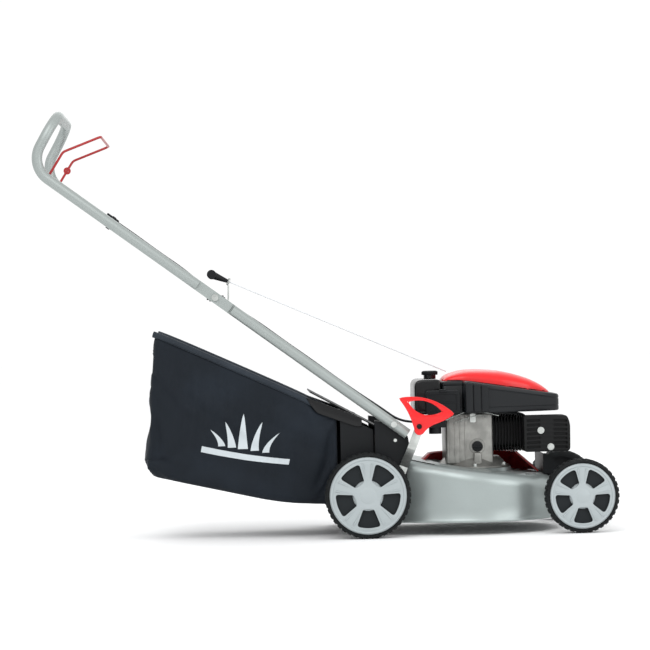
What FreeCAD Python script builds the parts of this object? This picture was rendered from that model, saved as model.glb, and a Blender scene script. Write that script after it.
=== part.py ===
"""A petrol push lawn mower with a 42 cm pressed steel deck, a grass catcher and a folding handlebar.

X runs forward, Y to the operator's left and Z up. The origin is on the ground, under the middle
of the mower's length. All lengths are in millimetres and all angles in degrees.
"""
import FreeCAD, Part
import math
import os

import Sketcher

Vector = FreeCAD.Vector

# The driving dimensions, in the order of the sheet's rows.
SIZES = {
    "rear_axle_x": 89.3,
    "wheelbase": 506.0,
    "rear_wheel_diameter": 203.0,
    "front_wheel_diameter": 175.0,
    "wheel_width": 44.0,
    "wheel_inner_y": 191.0,
    "tread_depth": 12.0,
    "hub_radius": 22.0,
    "web_thickness": 6.0,
    "rim_wall": 4.0,
    "spoke_width": 30.0,
    "trim_thickness": 3.0,
    "stub_radius": 6.0,
    "stub_length": 30.0,
    "running_clearance": 0.05,
    "part_gap": 0.3,
    "crank_reach": 60.0,
    "crank_drop": 6.4,
    "crank_arm_thickness": 5.0,
    "axle_radius": 8.0,
    "axle_half_length": 187.0,
    "lug_height": 35.0,
    "link_y": 150.0,
    "link_radius": 3.5,
    "lever_lean": 22.0,
    "lever_strip_width": 20.0,
    "lever_strip_thickness": 3.0,
    "lever_strip_reach": 180.0,
    "lever_plate_y": 212.3,
    "lever_plate_thickness": 8.0,
    "crank_x": 266.0,
    "deck_radius": 212.0,
    "deck_tail_angle": 68.0,
    "deck_rear_x": 72.0,
    "deck_bottom_z": 28.0,
    "deck_front_z": 131.0,
    "deck_back_z": 196.0,
    "deck_sweep_radius": 2100.0,
    "deck_seat_z": 149.0,
    "deck_seat_radius": 92.0,
    "deck_wall": 2.0,
    "deck_shoulder": 30.0,
    "chute_half_width": 125.0,
    "chute_floor_z": 105.0,
    "chute_top_z": 170.0,
    "bracket_rear_x": 22.0,
    "bracket_inner_y": 150.0,
    "bracket_gap": 0.3,
    "handle_y": 190.0,
    "tube_radius": 12.5,
    "tube_wall": 1.6,
    "handle_angle": 36.8,
    "lower_handle_length": 558.0,
    "fold_pivot_x": -348.5,
    "fold_pivot_z": 577.0,
    "upper_straight": 536.0,
    "grip_angle": 60.9,
    "grip_reach": 137.0,
    "handle_bend_radius": 60.0,
    "grip_corner_radius": 65.0,
    "paddle_thickness": 6.0,
    "paddle_reach": 50.0,
    "bolt_radius": 4.0,
    "bail_gap": 2.5,
    "bail_wire_radius": 3.0,
    "cable_radius": 3.0,
    "cable_y": 173.0,
    "rope_radius": 1.5,
    "guide_y": -136.0,
    "flap_pivot_x": 70.0,
    "flap_pivot_z": 228.0,
    "flap_half_width": 149.0,
    "flap_thickness": 3.0,
    "flap_length": 232.0,
    "flap_angle": 29.0,
    "bag_half_width": 170.0,
    "bag_wall": 3.0,
    "catcher_front_x": 18.0,
    "bag_front_x": -60.0,
    "engine_base_top": 185.0,
    "crankcase_top": 285.0,
    "crankcase_half_width": 68.0,
    "casting_wall": 6.0,
    "cylinder_z": 235.0,
    "bore_radius": 30.0,
    "fin_pitch": 7.0,
    "fin_thickness": 2.6,
    "fin_half_width": 58.0,
    "head_front_x": 392.0,
    "shaft_radius": 11.0,
    "flywheel_radius": 70.0,
    "blade_length": 376.0,
    "blade_width": 50.0,
    "blade_thickness": 3.0,
    "blade_z": 47.0,
    "housing_wall": 2.5,
    "housing_front_x": 476.0,
    "cover_half_width": 78.0,
    "guard_y": 127.0,
    "guard_wall": 3.0,
}

doc = FreeCAD.newDocument("lawn_mower")
sheet = doc.addObject("Spreadsheet::Sheet", "Sizes")
for row, (alias, number) in enumerate(SIZES.items(), start=1):
    sheet.set(f"A{row}", alias)
    sheet.set(f"B{row}", str(number))
    sheet.setAlias(f"B{row}", alias)
doc.recompute()


class Size:
    """A number together with the sheet expression that gives it."""

    def __init__(self, text, value):
        self.text = text
        self.value = value

    def joined(self, sign, other, value):
        return Size(f"({self.text} {sign} {as_size(other).text})", value)

    def __add__(self, other):
        return self.joined("+", other, self.value + as_size(other).value)

    def __radd__(self, other):
        return as_size(other) + self

    def __sub__(self, other):
        return self.joined("-", other, self.value - as_size(other).value)

    def __rsub__(self, other):
        return as_size(other) - self

    def __mul__(self, other):
        return self.joined("*", other, self.value * as_size(other).value)

    def __rmul__(self, other):
        return as_size(other) * self

    def __truediv__(self, other):
        return self.joined("/", other, self.value / as_size(other).value)

    def __neg__(self):
        return self * -1

    def __float__(self):
        return float(self.value)


def as_size(value):
    if isinstance(value, Size):
        return value
    return Size(f"({value:.6f})", float(value))


def cosine(angle):
    return Size(f"cos({as_size(angle).text})", math.cos(math.radians(float(angle))))


def sine(angle):
    return Size(f"sin({as_size(angle).text})", math.sin(math.radians(float(angle))))


def read(alias):
    return Size(f"Sizes.{alias}", float(sheet.get(alias)))


S = type("Sheet", (), {alias: read(alias) for alias in SIZES})
AXLE = S.rear_axle_x


def ahead(distance):
    """The X of a place that is this far ahead of the rear axle."""
    return AXLE + distance


def vec(x, y, z):
    return Vector(float(x), float(y), float(z))


# %% Building blocks

PARTS = []
TURN_TO = {
    "x": FreeCAD.Rotation(Vector(0, 1, 0), 90),
    "y": FreeCAD.Rotation(Vector(1, 0, 0), -90),
    "z": FreeCAD.Rotation(),
}


def keep(item, label):
    """Make an object one of the mower's sub-parts, under its own name."""
    item.Label = label
    PARTS.append(item)
    return item


def bind(item, **sizes):
    for name, size in sizes.items():
        item.setExpression(name.replace("__", "."), as_size(size).text)


def place(item, x=0, y=0, z=0):
    bind(item, Placement__Base__x=x, Placement__Base__y=y, Placement__Base__z=z)
    return item


def box(start, lengths):
    item = doc.addObject("Part::Box", "box")
    bind(item, Length=lengths[0], Width=lengths[1], Height=lengths[2])
    return place(item, *start)


def span_box(x, y, z):
    """A box from three (low, high) pairs."""
    lengths = [as_size(high) - low for low, high in (x, y, z)]
    return box((x[0], y[0], z[0]), lengths)


def rod(radius, length, start, axis="z"):
    item = doc.addObject("Part::Cylinder", "rod")
    item.Placement = FreeCAD.Placement(Vector(), TURN_TO[axis])
    bind(item, Radius=radius, Height=length)
    return place(item, *start)


def cone(low_radius, high_radius, length, start, axis="z"):
    item = doc.addObject("Part::Cone", "cone")
    item.Placement = FreeCAD.Placement(Vector(), TURN_TO[axis])
    bind(item, Radius1=low_radius, Radius2=high_radius, Height=length)
    return place(item, *start)


def join(items):
    item = doc.addObject("Part::MultiFuse", "join")
    item.Shapes = items
    return item


def group(items):
    """Separate solids that share one name, such as equal bolts."""
    item = doc.addObject("Part::Compound", "group")
    item.Links = items
    return item


def cut(base, tools):
    item = doc.addObject("Part::Cut", "cut")
    item.Base = base
    item.Tool = tools[0] if len(tools) == 1 else join(tools)
    return item


def common(first, second):
    item = doc.addObject("Part::MultiCommon", "common")
    item.Shapes = [first, second]
    return item


def tube_ring(outer, inner, length, start, axis):
    return cut(rod(outer, length, start, axis), [rod(inner, length, start, axis)])


def sketch_outline(body, plane, points, radii=None):
    """A closed outline whose corners are bound to the sheet.

    radii maps the number of a side to the radius of the arc it is, negative to bulge the other way.
    """
    radii = radii or {}
    sketch = body.newObject("Sketcher::SketchObject", "outline")
    origin_plane = [o for o in body.Origin.OriginFeatures if o.Role == plane][0]
    sketch.AttachmentSupport = (origin_plane, [""])
    sketch.MapMode = "FlatFace"
    corners = [vec(x, y, 0) for x, y in points]
    count = len(corners)
    for side in range(count):
        first, last = corners[side], corners[(side + 1) % count]
        if side not in radii:
            sketch.addGeometry(Part.LineSegment(first, last))
            continue
        radius = float(radii[side])
        chord = last - first
        across = Vector(-chord.y, chord.x, 0).normalize()
        rise = abs(radius) - math.sqrt(radius ** 2 - (chord.Length / 2) ** 2)
        middle = (first + last) / 2 + across * math.copysign(rise, radius)
        # An arc that bulges to the left of its chord is drawn from its far end, to turn anticlockwise.
        turned = radius > 0
        sketch.addGeometry(Part.Arc(last, middle, first) if turned else Part.Arc(first, middle, last))
    ends = [(2, 1) if side in radii and float(radii[side]) > 0 else (1, 2) for side in range(count)]
    for side in range(count):
        after = (side + 1) % count
        sketch.addConstraint(Sketcher.Constraint("Coincident", side, ends[side][1], after, ends[after][0]))
    for side, (x, y) in enumerate(points):
        for kind, size in (("DistanceX", x), ("DistanceY", y)):
            name = f"{kind}_{side}"
            value = Sketcher.Constraint(kind, side, ends[side][0], float(size))
            number = sketch.addConstraint(value)
            sketch.renameConstraint(number, name)
            sketch.setExpression(f"Constraints.{name}", as_size(size).text)
    return sketch


def pad(plane, points, thickness, at=(0, 0, 0), radii=None, middle=False):
    """A body with one padded outline: up from XY, forward from YZ, to the right (-Y) from XZ."""
    body = doc.addObject("PartDesign::Body", "body")
    outline = sketch_outline(body, plane + "_Plane", points, radii)
    feature = body.newObject("PartDesign::Pad", "pad")
    feature.Profile = outline
    bind(feature, Length=thickness)
    if middle:
        feature.SideType = "Symmetric"
    place(body, *at)
    return body


def inset_outline(points, depth):
    """The outline moved inwards by a depth, for the inside of a shell of even wall."""
    corners = [vec(x, y, 0) for x, y in points]
    area = sum(a.x * b.y - b.x * a.y for a, b in zip(corners, corners[1:] + corners[:1]))
    turn = 1 if area > 0 else -1
    moved = []
    for index, (x, y) in enumerate(points):
        before = (corners[index] - corners[index - 1]).normalize()
        after = (corners[(index + 1) % len(corners)] - corners[index]).normalize()
        normals = [Vector(-way.y, way.x, 0) * turn for way in (before, after)]
        mitre = (normals[0] + normals[1]) / (1 + normals[0].dot(normals[1]))
        moved.append((x + depth * mitre.x, y + depth * mitre.y))
    return moved


def edges_where(shape, test):
    return [f"Edge{number}" for number, edge in enumerate(shape.Edges, start=1) if test(edge)]


def round_edges(body, radius, test):
    """Round the edges of a body's tip that pass a test."""
    doc.recompute()
    tip = body.Tip
    names = edges_where(tip.Shape, test)
    feature = body.newObject("PartDesign::Fillet", "fillet")
    feature.Base = (tip, names)
    bind(feature, Radius=radius)
    doc.recompute()
    return body


def runs_along(axis):
    """A test for straight edges along one axis."""
    direction = {"x": Vector(1, 0, 0), "y": Vector(0, 1, 0), "z": Vector(0, 0, 1)}[axis]

    def test(edge):
        if not isinstance(edge.Curve, Part.Line):
            return False
        return abs(edge.Curve.Direction.dot(direction)) > 0.999

    return test


def path_of(points, radii):
    """Straight runs joined by tangent arcs; radii holds one radius for each inner point."""
    edges = []
    start = points[0]
    for index, radius in enumerate(radii, start=1):
        corner = points[index]
        back = (points[index - 1] - corner).normalize()
        onward = (points[index + 1] - corner).normalize()
        half_turn = (math.pi - back.getAngle(onward)) / 2
        reach = radius * math.tan(half_turn)
        first, last = corner + back * reach, corner + onward * reach
        inward = (back + onward).normalize()
        middle = corner + inward * (radius / math.cos(half_turn) - radius)
        edges.append(Part.LineSegment(start, first).toShape())
        edges.append(Part.Arc(first, middle, last).toShape())
        start = last
    edges.append(Part.LineSegment(start, points[-1]).toShape())
    return Part.Wire(edges)


def sweep(points, radii, radius):
    """A solid round bar along a path."""
    path = path_of(points, radii)
    circle = Part.Circle(points[0], points[1] - points[0], float(radius)).toShape()
    return path.makePipeShell([Part.Wire([circle])], True, True)


def easy_radii(points):
    """The largest arcs that a cord's runs leave room for."""
    radii = []
    for before, corner, after in zip(points, points[1:], points[2:]):
        first, second = before - corner, after - corner
        half_turn = (math.pi - first.getAngle(second)) / 2
        radii.append(0.45 * min(first.Length, second.Length) / math.tan(half_turn))
    return radii


def solid(shape, label):
    item = doc.addObject("Part::Feature", label)
    item.Shape = shape
    return keep(item, label)


def check_cord(name, shape, points, radii, radius):
    length = path_of(points, radii).Length
    expected = math.pi * float(radius) ** 2 * length
    print(f"{name}: length {length:.0f}, radii {[round(r) for r in radii]}, "
          f"volume ratio {shape.Volume / expected:.4f}")


# %% Where the joints are

REAR_WHEEL = (AXLE, S.rear_wheel_diameter / 2)
FRONT_WHEEL = (AXLE + S.wheelbase, S.front_wheel_diameter / 2)
REAR_CRANK = (REAR_WHEEL[0] + S.crank_reach, REAR_WHEEL[1] - S.crank_drop)
FRONT_CRANK = (FRONT_WHEEL[0] + S.crank_reach, FRONT_WHEEL[1] - S.crank_drop)
FOLD = (ahead(S.fold_pivot_x), S.fold_pivot_z)
FLAP = (ahead(S.flap_pivot_x), S.flap_pivot_z)
ENGINE_X = ahead(S.crank_x)
SIDES = (("right", -1), ("left", 1))
BRACKET_OUTER = S.handle_y - S.tube_radius - S.bracket_gap
BAIL_Y = S.handle_y - S.tube_radius - S.bail_wire_radius - S.bail_gap
TANK_FRONT = S.crank_x - S.flywheel_radius - 6


def on_handle(distance, rise=0):
    """A place along the straight handle: up from the fold pivot, and square off its line."""
    x = FOLD[0] - cosine(S.handle_angle) * distance + sine(S.handle_angle) * rise
    z = FOLD[1] + sine(S.handle_angle) * distance + cosine(S.handle_angle) * rise
    return x, z


# %% Wheels


def wheel_set(name, sign, centre, diameter):
    """A black plastic wheel, its rubber tyre and the silver five-spoke trim clipped into it."""
    x, z = centre
    rim = diameter / 2 - S.tread_depth
    width = S.wheel_width
    inner_y = S.wheel_inner_y * sign
    outer_y = (S.wheel_inner_y + width) * sign
    low_y = inner_y if sign > 0 else outer_y

    barrel = tube_ring(rim, rim - S.rim_wall, width - 4, (x, low_y + 2, z), "y")
    hub_start = inner_y if sign > 0 else inner_y - S.stub_length
    hub = rod(S.hub_radius, S.stub_length, (x, hub_start, z), "y")
    web_y = (S.wheel_inner_y + 24) * sign
    web_start = web_y if sign > 0 else web_y - S.web_thickness
    web = rod(rim - S.rim_wall / 2, S.web_thickness, (x, web_start, z), "y")
    bore = rod(S.stub_radius + S.running_clearance, width, (x, low_y, z), "y")
    keep(cut(join([barrel, hub, web]), [bore]), f"{name}_wheel")

    keep(tube_ring(diameter / 2, rim, width, (x, low_y, z), "y"), f"{name}_tyre")

    trim_radius = rim - S.rim_wall - S.running_clearance
    trim_y = (S.wheel_inner_y + width - 6) * sign
    trim_start = trim_y if sign > 0 else trim_y - S.trim_thickness
    ring = tube_ring(trim_radius, trim_radius - 11, S.trim_thickness, (x, trim_start, z), "y")
    boss = rod(S.hub_radius, S.trim_thickness, (x, trim_start, z), "y")
    pieces = [ring, boss]
    inner_half = S.spoke_width * 0.32
    outer_half = S.spoke_width * 0.5
    for spoke in range(5):
        turn = 90 + 72 * spoke
        reach = trim_radius - 4
        outline = [(-inner_half, 0), (inner_half, 0), (outer_half, reach), (-outer_half, reach)]
        arm = pad("XZ", outline, S.trim_thickness)
        arm.Placement = FreeCAD.Placement(Vector(), FreeCAD.Rotation(Vector(0, 1, 0), turn - 90))
        start_y = trim_y if sign < 0 else trim_y + S.trim_thickness
        pieces.append(place(arm, x, start_y, z))
    keep(join(pieces), f"{name}_wheel_trim")


for side, sign in SIDES:
    wheel_set(f"rear_{side}", sign, REAR_WHEEL, S.rear_wheel_diameter)
    wheel_set(f"front_{side}", sign, FRONT_WHEEL, S.front_wheel_diameter)


# %% Height adjustment: two cranked axles, the link between them and the red lever


def crank_arm(wheel, crank, sign):
    """A flat arm from the axle's pivot back to the wheel's stub."""
    half = S.axle_radius + 4
    (wx, wz), (cx, cz) = wheel, crank
    outer_y = S.axle_half_length * sign
    start_y = outer_y if sign < 0 else outer_y - S.crank_arm_thickness
    plate_y = start_y + S.crank_arm_thickness
    bar = pad("XZ", [(wx, wz - half), (cx, cz - half), (cx, cz + half), (wx, wz + half)],
              S.crank_arm_thickness, (0, plate_y, 0))
    ends = [rod(half, S.crank_arm_thickness, (px, start_y, pz), "y") for px, pz in (wheel, crank)]
    stub_start = outer_y if sign > 0 else outer_y - S.stub_length - 4
    stub = rod(S.stub_radius, S.stub_length + 4, (wx, stub_start, wz), "y")
    return [bar, stub] + ends


def cranked_axle(label, wheel, crank, extras):
    shaft = rod(S.axle_radius, S.axle_half_length * 2, (crank[0], -S.axle_half_length, crank[1]), "y")
    pieces = [shaft] + crank_arm(wheel, crank, -1) + crank_arm(wheel, crank, 1) + extras
    lug_y = S.link_y - 4 - S.part_gap - 6
    lug = span_box((crank[0] - 7, crank[0] + 7), (lug_y, lug_y + 6), (crank[1], crank[1] + S.lug_height + 7))
    pin = rod(4, 14, (crank[0], lug_y, crank[1] + S.lug_height), "y")
    keep(join(pieces + [lug, pin]), label)


# The steel strip starts beside the crank arm and steps out past the handle's tube.
inner_face = S.axle_half_length - S.crank_arm_thickness
strip = S.lever_strip_thickness
strip_outline = [
    (-inner_face + strip, -12), (-inner_face + strip, 78), (-S.lever_plate_y + strip, 122),
    (-S.lever_plate_y + strip, S.lever_strip_reach), (-S.lever_plate_y, S.lever_strip_reach),
    (-S.lever_plate_y, 122), (-inner_face, 76), (-inner_face, -12),
]
lever_strip = pad("YZ", strip_outline, S.lever_strip_width, middle=True)
lever_strip.Placement = FreeCAD.Placement(Vector(), FreeCAD.Rotation(Vector(0, 1, 0), float(S.lever_lean)))
bind(lever_strip, Placement__Rotation__Angle=S.lever_lean)
place(lever_strip, REAR_CRANK[0], 0, REAR_CRANK[1])

cranked_axle("rear_axle", REAR_WHEEL, REAR_CRANK, [lever_strip])
cranked_axle("front_axle", FRONT_WHEEL, FRONT_CRANK, [])


def lever_handle():
    """The red moulded lever top with its finger loop."""
    outline = [(ahead(79), 329), (ahead(112), 264), (ahead(115), 249), (ahead(133), 245),
               (ahead(160), 266), (ahead(208), 289)]
    radii = {0: 170, 1: 40, 2: -11, 3: 60, 4: -160, 5: -150}
    plate = pad("XZ", outline, S.lever_plate_thickness, (0, -S.lever_plate_y, 0), radii)
    loop = pad("XZ", [(ahead(98), 320), (ahead(182), 294)], S.lever_plate_thickness + 4,
               (0, -S.lever_plate_y + 2, 0), {0: -58, 1: -75})
    keep(cut(plate, [loop]), "height_lever")


lever_handle()


def height_link():
    """The rod that turns the front axle with the rear one."""
    rear_x, rear_z = REAR_CRANK[0], REAR_CRANK[1] + S.lug_height
    front_x, front_z = FRONT_CRANK[0], FRONT_CRANK[1] + S.lug_height
    y = float(S.link_y)
    start, end = vec(rear_x, y, rear_z), vec(front_x, y, front_z)
    bar = Part.makeCylinder(float(S.link_radius), (end - start).Length, start, end - start)
    eyes = [Part.makeCylinder(9, 8, point - Vector(0, 4, 0), Vector(0, 1, 0)) for point in (start, end)]
    bores = [Part.makeCylinder(4 + slack, 20, point - Vector(0, 10, 0), Vector(0, 1, 0))
             for point, slack in ((start, float(S.running_clearance)), (end, float(S.part_gap) + 0.1))]
    solid(bar.fuse(eyes).cut(Part.makeCompound(bores)).removeSplitter(), "height_link")


height_link()


# %% Deck


def deck_form(inset, shoulders=True):
    """The deck's outer form, or the form of its inside when inset by the wall."""
    radius = S.deck_radius - inset
    turn = S.deck_tail_angle
    join_x = ENGINE_X - radius * cosine(turn)
    join_y = radius * sine(turn)
    rear_x = ahead(S.deck_rear_x) + inset
    rear_y = join_y - (join_x - rear_x) * cosine(turn) / sine(turn)
    bottom = S.deck_bottom_z - (10 if float(inset) > 0 else 0)
    plan = [(rear_x, -rear_y), (join_x, -join_y), (ENGINE_X + radius, 0), (join_x, join_y), (rear_x, rear_y)]
    base = pad("XY", plan, 190 - inset, (0, 0, bottom), {1: -radius, 2: -radius})
    slope = [(ahead(40), 0), (ahead(490), 0), (ahead(490), S.deck_front_z - inset),
             (ahead(40), S.deck_back_z - inset)]
    side = pad("XZ", slope, 500, (0, 250, 0), {2: S.deck_sweep_radius})
    form = common(base, side)
    if not shoulders:
        return form
    doc.recompute()
    rounded = doc.addObject("Part::Fillet", "shoulder")
    rounded.Base = form
    shoulder = float(S.deck_shoulder) - float(inset)

    def on_rim(edge):
        box_ = edge.BoundBox
        middle = edge.valueAt((edge.FirstParameter + edge.LastParameter) / 2)
        side_on = abs(middle.y) > 20 or middle.x > float(ENGINE_X) + 150
        inside = box_.ZMin > 120 and not runs_along("y")(edge)
        return side_on and inside

    rounded.Edges = [(number, shoulder, shoulder) for number, edge in enumerate(form.Shape.Edges, start=1)
                     if on_rim(edge)]
    seat = rod(S.deck_seat_radius - inset, 20, (ENGINE_X, 0, S.deck_seat_z - inset - 20))
    above = rod(S.deck_seat_radius + inset, 60, (ENGINE_X, 0, S.deck_seat_z - inset))
    return cut(join([rounded, seat]), [above])


deck_outer = deck_form(as_size(0))
deck_inner = deck_form(S.deck_wall)
chute_hole = span_box((ahead(60), ahead(110)), (3 - S.chute_half_width, S.chute_half_width - 3),
                      (S.chute_floor_z + 3, S.chute_top_z - 3))
shaft_hole = rod(30, 60, (ENGINE_X, 0, 110))
link_z = REAR_CRANK[1] + S.lug_height - 5
rear_hole = rod(13, 75, (ahead(60), S.link_y, link_z), "x")
front_hole = rod(13, 70, (ahead(385), S.link_y, link_z - 11), "x")
link_holes = [rear_hole, front_hole]
keep(cut(deck_outer, [deck_inner, chute_hole, shaft_hole] + link_holes), "deck_shell")


def deck_trim():
    """The red skirt round the back half of the engine, resting on the deck."""
    body = doc.addObject("PartDesign::Body", "body")
    outline = sketch_outline(body, "XZ_Plane", [(106, 184), (160, 136), (163, 139), (109, 187)])
    turned = body.newObject("PartDesign::Revolution", "revolution")
    turned.Profile = outline
    turned.ReferenceAxis = (outline, ["V_Axis"])
    turned.Angle = 205
    body.Placement = FreeCAD.Placement(Vector(), FreeCAD.Rotation(Vector(0, 0, 1), -12))
    place(body, ENGINE_X, 0, 0)
    keep(cut(body, [deck_form(-S.part_gap, shoulders=False)]), "deck_trim")


deck_trim()


def front_cover():
    """The black moulding on the deck ahead of the engine."""
    outline = [(ahead(430), 120), (ahead(470), 120), (ahead(470), 150), (ahead(452), 172), (ahead(430), 184)]
    wedge = pad("XZ", outline, 180, (0, 90, 0))
    keep(cut(wedge, [deck_form(-S.part_gap, shoulders=False)]), "front_cover")


front_cover()


def rear_bracket(sign):
    """The black side piece that holds the handle, the rear axle and the flap's rod."""
    outline = [(ahead(S.bracket_rear_x), 276), (ahead(84), 266), (ahead(100), 236), (ahead(105), 204),
               (ahead(98), 165), (ahead(92), 110), (ahead(76), 74), (ahead(40), 74),
               (ahead(S.bracket_rear_x), 100)]
    thickness = BRACKET_OUTER - S.bracket_inner_y
    top_y = BRACKET_OUTER if sign > 0 else -S.bracket_inner_y
    plate = pad("XZ", outline, thickness, (0, top_y, 0))
    low_y = top_y - thickness
    hole_centre = (REAR_CRANK[0], low_y, REAR_CRANK[1])
    axle_hole = rod(S.axle_radius + S.running_clearance, thickness, hole_centre, "y")
    rod_hole = rod(4, thickness, (FLAP[0], low_y, FLAP[1]), "y")
    bolt_x, bolt_z = on_handle(-deck_bolt_distance)
    bolt_hole = rod(S.bolt_radius, thickness, (bolt_x, low_y, bolt_z), "y")
    link_slot = span_box((ahead(20), ahead(110)), (S.link_y - 8, S.link_y + 8),
                         (REAR_CRANK[1] + 14, REAR_CRANK[1] + S.lug_height + 18))
    lug_slot = span_box((REAR_CRANK[0] - 45, REAR_CRANK[0] + 60), (S.link_y - 16, S.link_y + 8),
                        (REAR_CRANK[1] - 22, REAR_CRANK[1] + S.lug_height + 18))
    tools = [deck_form(as_size(0)), axle_hole, rod_hole, bolt_hole]
    if sign > 0:
        tools += [link_slot, lug_slot]
    return cut(plate, tools)


deck_bolt_distance = S.lower_handle_length - 40
keep(group([rear_bracket(sign) for _, sign in SIDES]), "rear_brackets")

outer_chute = span_box((ahead(S.bracket_rear_x), ahead(S.deck_rear_x)),
                       (-S.chute_half_width, S.chute_half_width),
                       (S.chute_floor_z, S.chute_top_z))
inner_chute = span_box((ahead(10), ahead(90)), (3 - S.chute_half_width, S.chute_half_width - 3),
                       (S.chute_floor_z + 3, S.chute_top_z - 3))
keep(cut(outer_chute, [inner_chute]), "discharge_chute")


def front_brackets():
    """The two steel arms that carry the front axle."""
    x, z = FRONT_CRANK
    plates = []
    for sign in (-1, 1):
        outline = [(ahead(425), 60), (x, z - 16), (x + 14, z), (x, z + 16), (ahead(425), 118)]
        plate = pad("XZ", outline, 6, (0, 110 * sign + 3, 0))
        hole = rod(S.axle_radius + S.running_clearance, 12, (x, 110 * sign - 6, z), "y")
        plates.append(cut(plate, [hole, rod(S.deck_radius, 160, (ENGINE_X, 0, 0))]))
    keep(group(plates), "front_brackets")


front_brackets()
keep(rod(4, BRACKET_OUTER * 2, (FLAP[0], -BRACKET_OUTER, FLAP[1]), "y"), "flap_rod")


# %% Rear flap


def rear_flap():
    barrel = rod(9, S.flap_half_width * 2, (FLAP[0], -S.flap_half_width, FLAP[1]), "y")
    plate = box((0, -S.flap_half_width, 6), (S.flap_length, S.flap_half_width * 2, S.flap_thickness))
    swung = FreeCAD.Rotation(Vector(0, 1, 0), 180 + float(S.flap_angle))
    plate.Placement = FreeCAD.Placement(Vector(), swung)
    lift_x = FLAP[0] + sine(S.flap_angle) * (6 + S.flap_thickness)
    lift_z = FLAP[1] + cosine(S.flap_angle) * (6 + S.flap_thickness)
    place(plate, lift_x, -S.flap_half_width, lift_z)
    bore = rod(4 + S.running_clearance, S.flap_half_width * 2, (FLAP[0], -S.flap_half_width, FLAP[1]), "y")
    keep(cut(join([barrel, plate]), [bore]), "rear_flap")


rear_flap()


# %% Grass catcher


def catcher():
    """A fabric bag behind a stiff front frame, open towards the chute."""
    front = ahead(S.bag_front_x)
    outline = [(front, 84), (front, 293), (ahead(-139), 333), (ahead(-500), 502),
               (ahead(-528), 168), (ahead(-207), 95)]
    width = S.bag_half_width * 2

    def bag_form(inset):
        points = inset_outline(outline, inset)
        overshoot = 5 if float(inset) > 0 else 0
        points[0] = (points[0][0] + inset + overshoot, points[0][1])
        points[1] = (points[1][0] + inset + overshoot, points[1][1])
        half = S.bag_half_width - inset
        form = pad("XZ", points, half * 2, (0, half, 0))
        mouth = float(points[0][0])

        def side_edge(edge):
            return not runs_along("y")(edge) and edge.BoundBox.XMin < mouth - 1e-3

        return round_edges(form, 22 - inset, side_edge)

    keep(cut(bag_form(as_size(0)), [bag_form(S.bag_wall)]), "catcher_bag")
    outer = pad("XZ", [(front + S.part_gap, 84), (ahead(S.catcher_front_x), 84),
                       (ahead(S.catcher_front_x), 254), (front + S.part_gap, 292)],
                width - 10, (0, S.bag_half_width - 5, 0))
    inner = pad("XZ", [(front - 5, 88), (ahead(S.catcher_front_x) + 5, 88),
                       (ahead(S.catcher_front_x) + 5, 248), (front - 5, 288)],
                width - 18, (0, S.bag_half_width - 9, 0))
    keep(cut(outer, [inner]), "catcher_frame")


catcher()


# %% Handle


def flat_paddle(centre, toward, sign, low, high):
    """A flattened tube end: a strip with a round end past the fold bolt."""
    reach = float(S.paddle_reach)
    half = float(S.tube_radius)
    thickness = high - low
    start_y = min(low * sign, high * sign)
    disc = Part.makeCylinder(half, thickness, Vector(centre.x, start_y, centre.z), Vector(0, 1, 0))
    bar = Part.makeBox(reach + 2, thickness, half * 2, Vector(0, 0, -half))
    bar.Placement = FreeCAD.Placement(Vector(centre.x, start_y, centre.z),
                                      FreeCAD.Rotation(Vector(0, 1, 0), -toward)).multiply(bar.Placement)
    return disc.fuse(bar)


def lower_handle(name, sign):
    y = float(S.handle_y) * sign
    centre = vec(FOLD[0], 0, FOLD[1])
    top_x, top_z = on_handle(-S.paddle_reach)
    low_x, low_z = on_handle(-S.lower_handle_length)
    top, low = vec(top_x, y, top_z), vec(low_x, y, low_z)
    outer = Part.makeCylinder(float(S.tube_radius), (low - top).Length, top, low - top)
    inner = Part.makeCylinder(float(S.tube_radius - S.tube_wall), (low - top).Length - 3, low, top - low)
    low_face = float(S.handle_y) - float(S.paddle_thickness)
    paddle = flat_paddle(centre, -float(S.handle_angle), sign, low_face, float(S.handle_y))
    bolt_x, bolt_z = on_handle(-deck_bolt_distance)
    bores = [Part.makeCylinder(float(S.bolt_radius), 60, vec(px, y - 30, pz), Vector(0, 1, 0))
             for px, pz in (FOLD, (bolt_x, bolt_z))]
    shape = outer.cut(inner).fuse(paddle).cut(Part.makeCompound(bores))
    solid(shape, f"lower_handle_{name}")


for side, sign in SIDES:
    lower_handle(side, sign)


def handlebar_points(side_y):
    """The centre line of the upper handlebar from one side's tube end to the other's."""
    start = on_handle(S.paddle_reach)
    bend = on_handle(S.upper_straight)
    top_x = bend[0] + cosine(S.grip_angle) * S.grip_reach
    top_z = bend[1] + sine(S.grip_angle) * S.grip_reach
    near = [vec(start[0], -side_y, start[1]), vec(bend[0], -side_y, bend[1]), vec(top_x, -side_y, top_z)]
    far = [Vector(point.x, -point.y, point.z) for point in reversed(near)]
    return near + far


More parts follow.
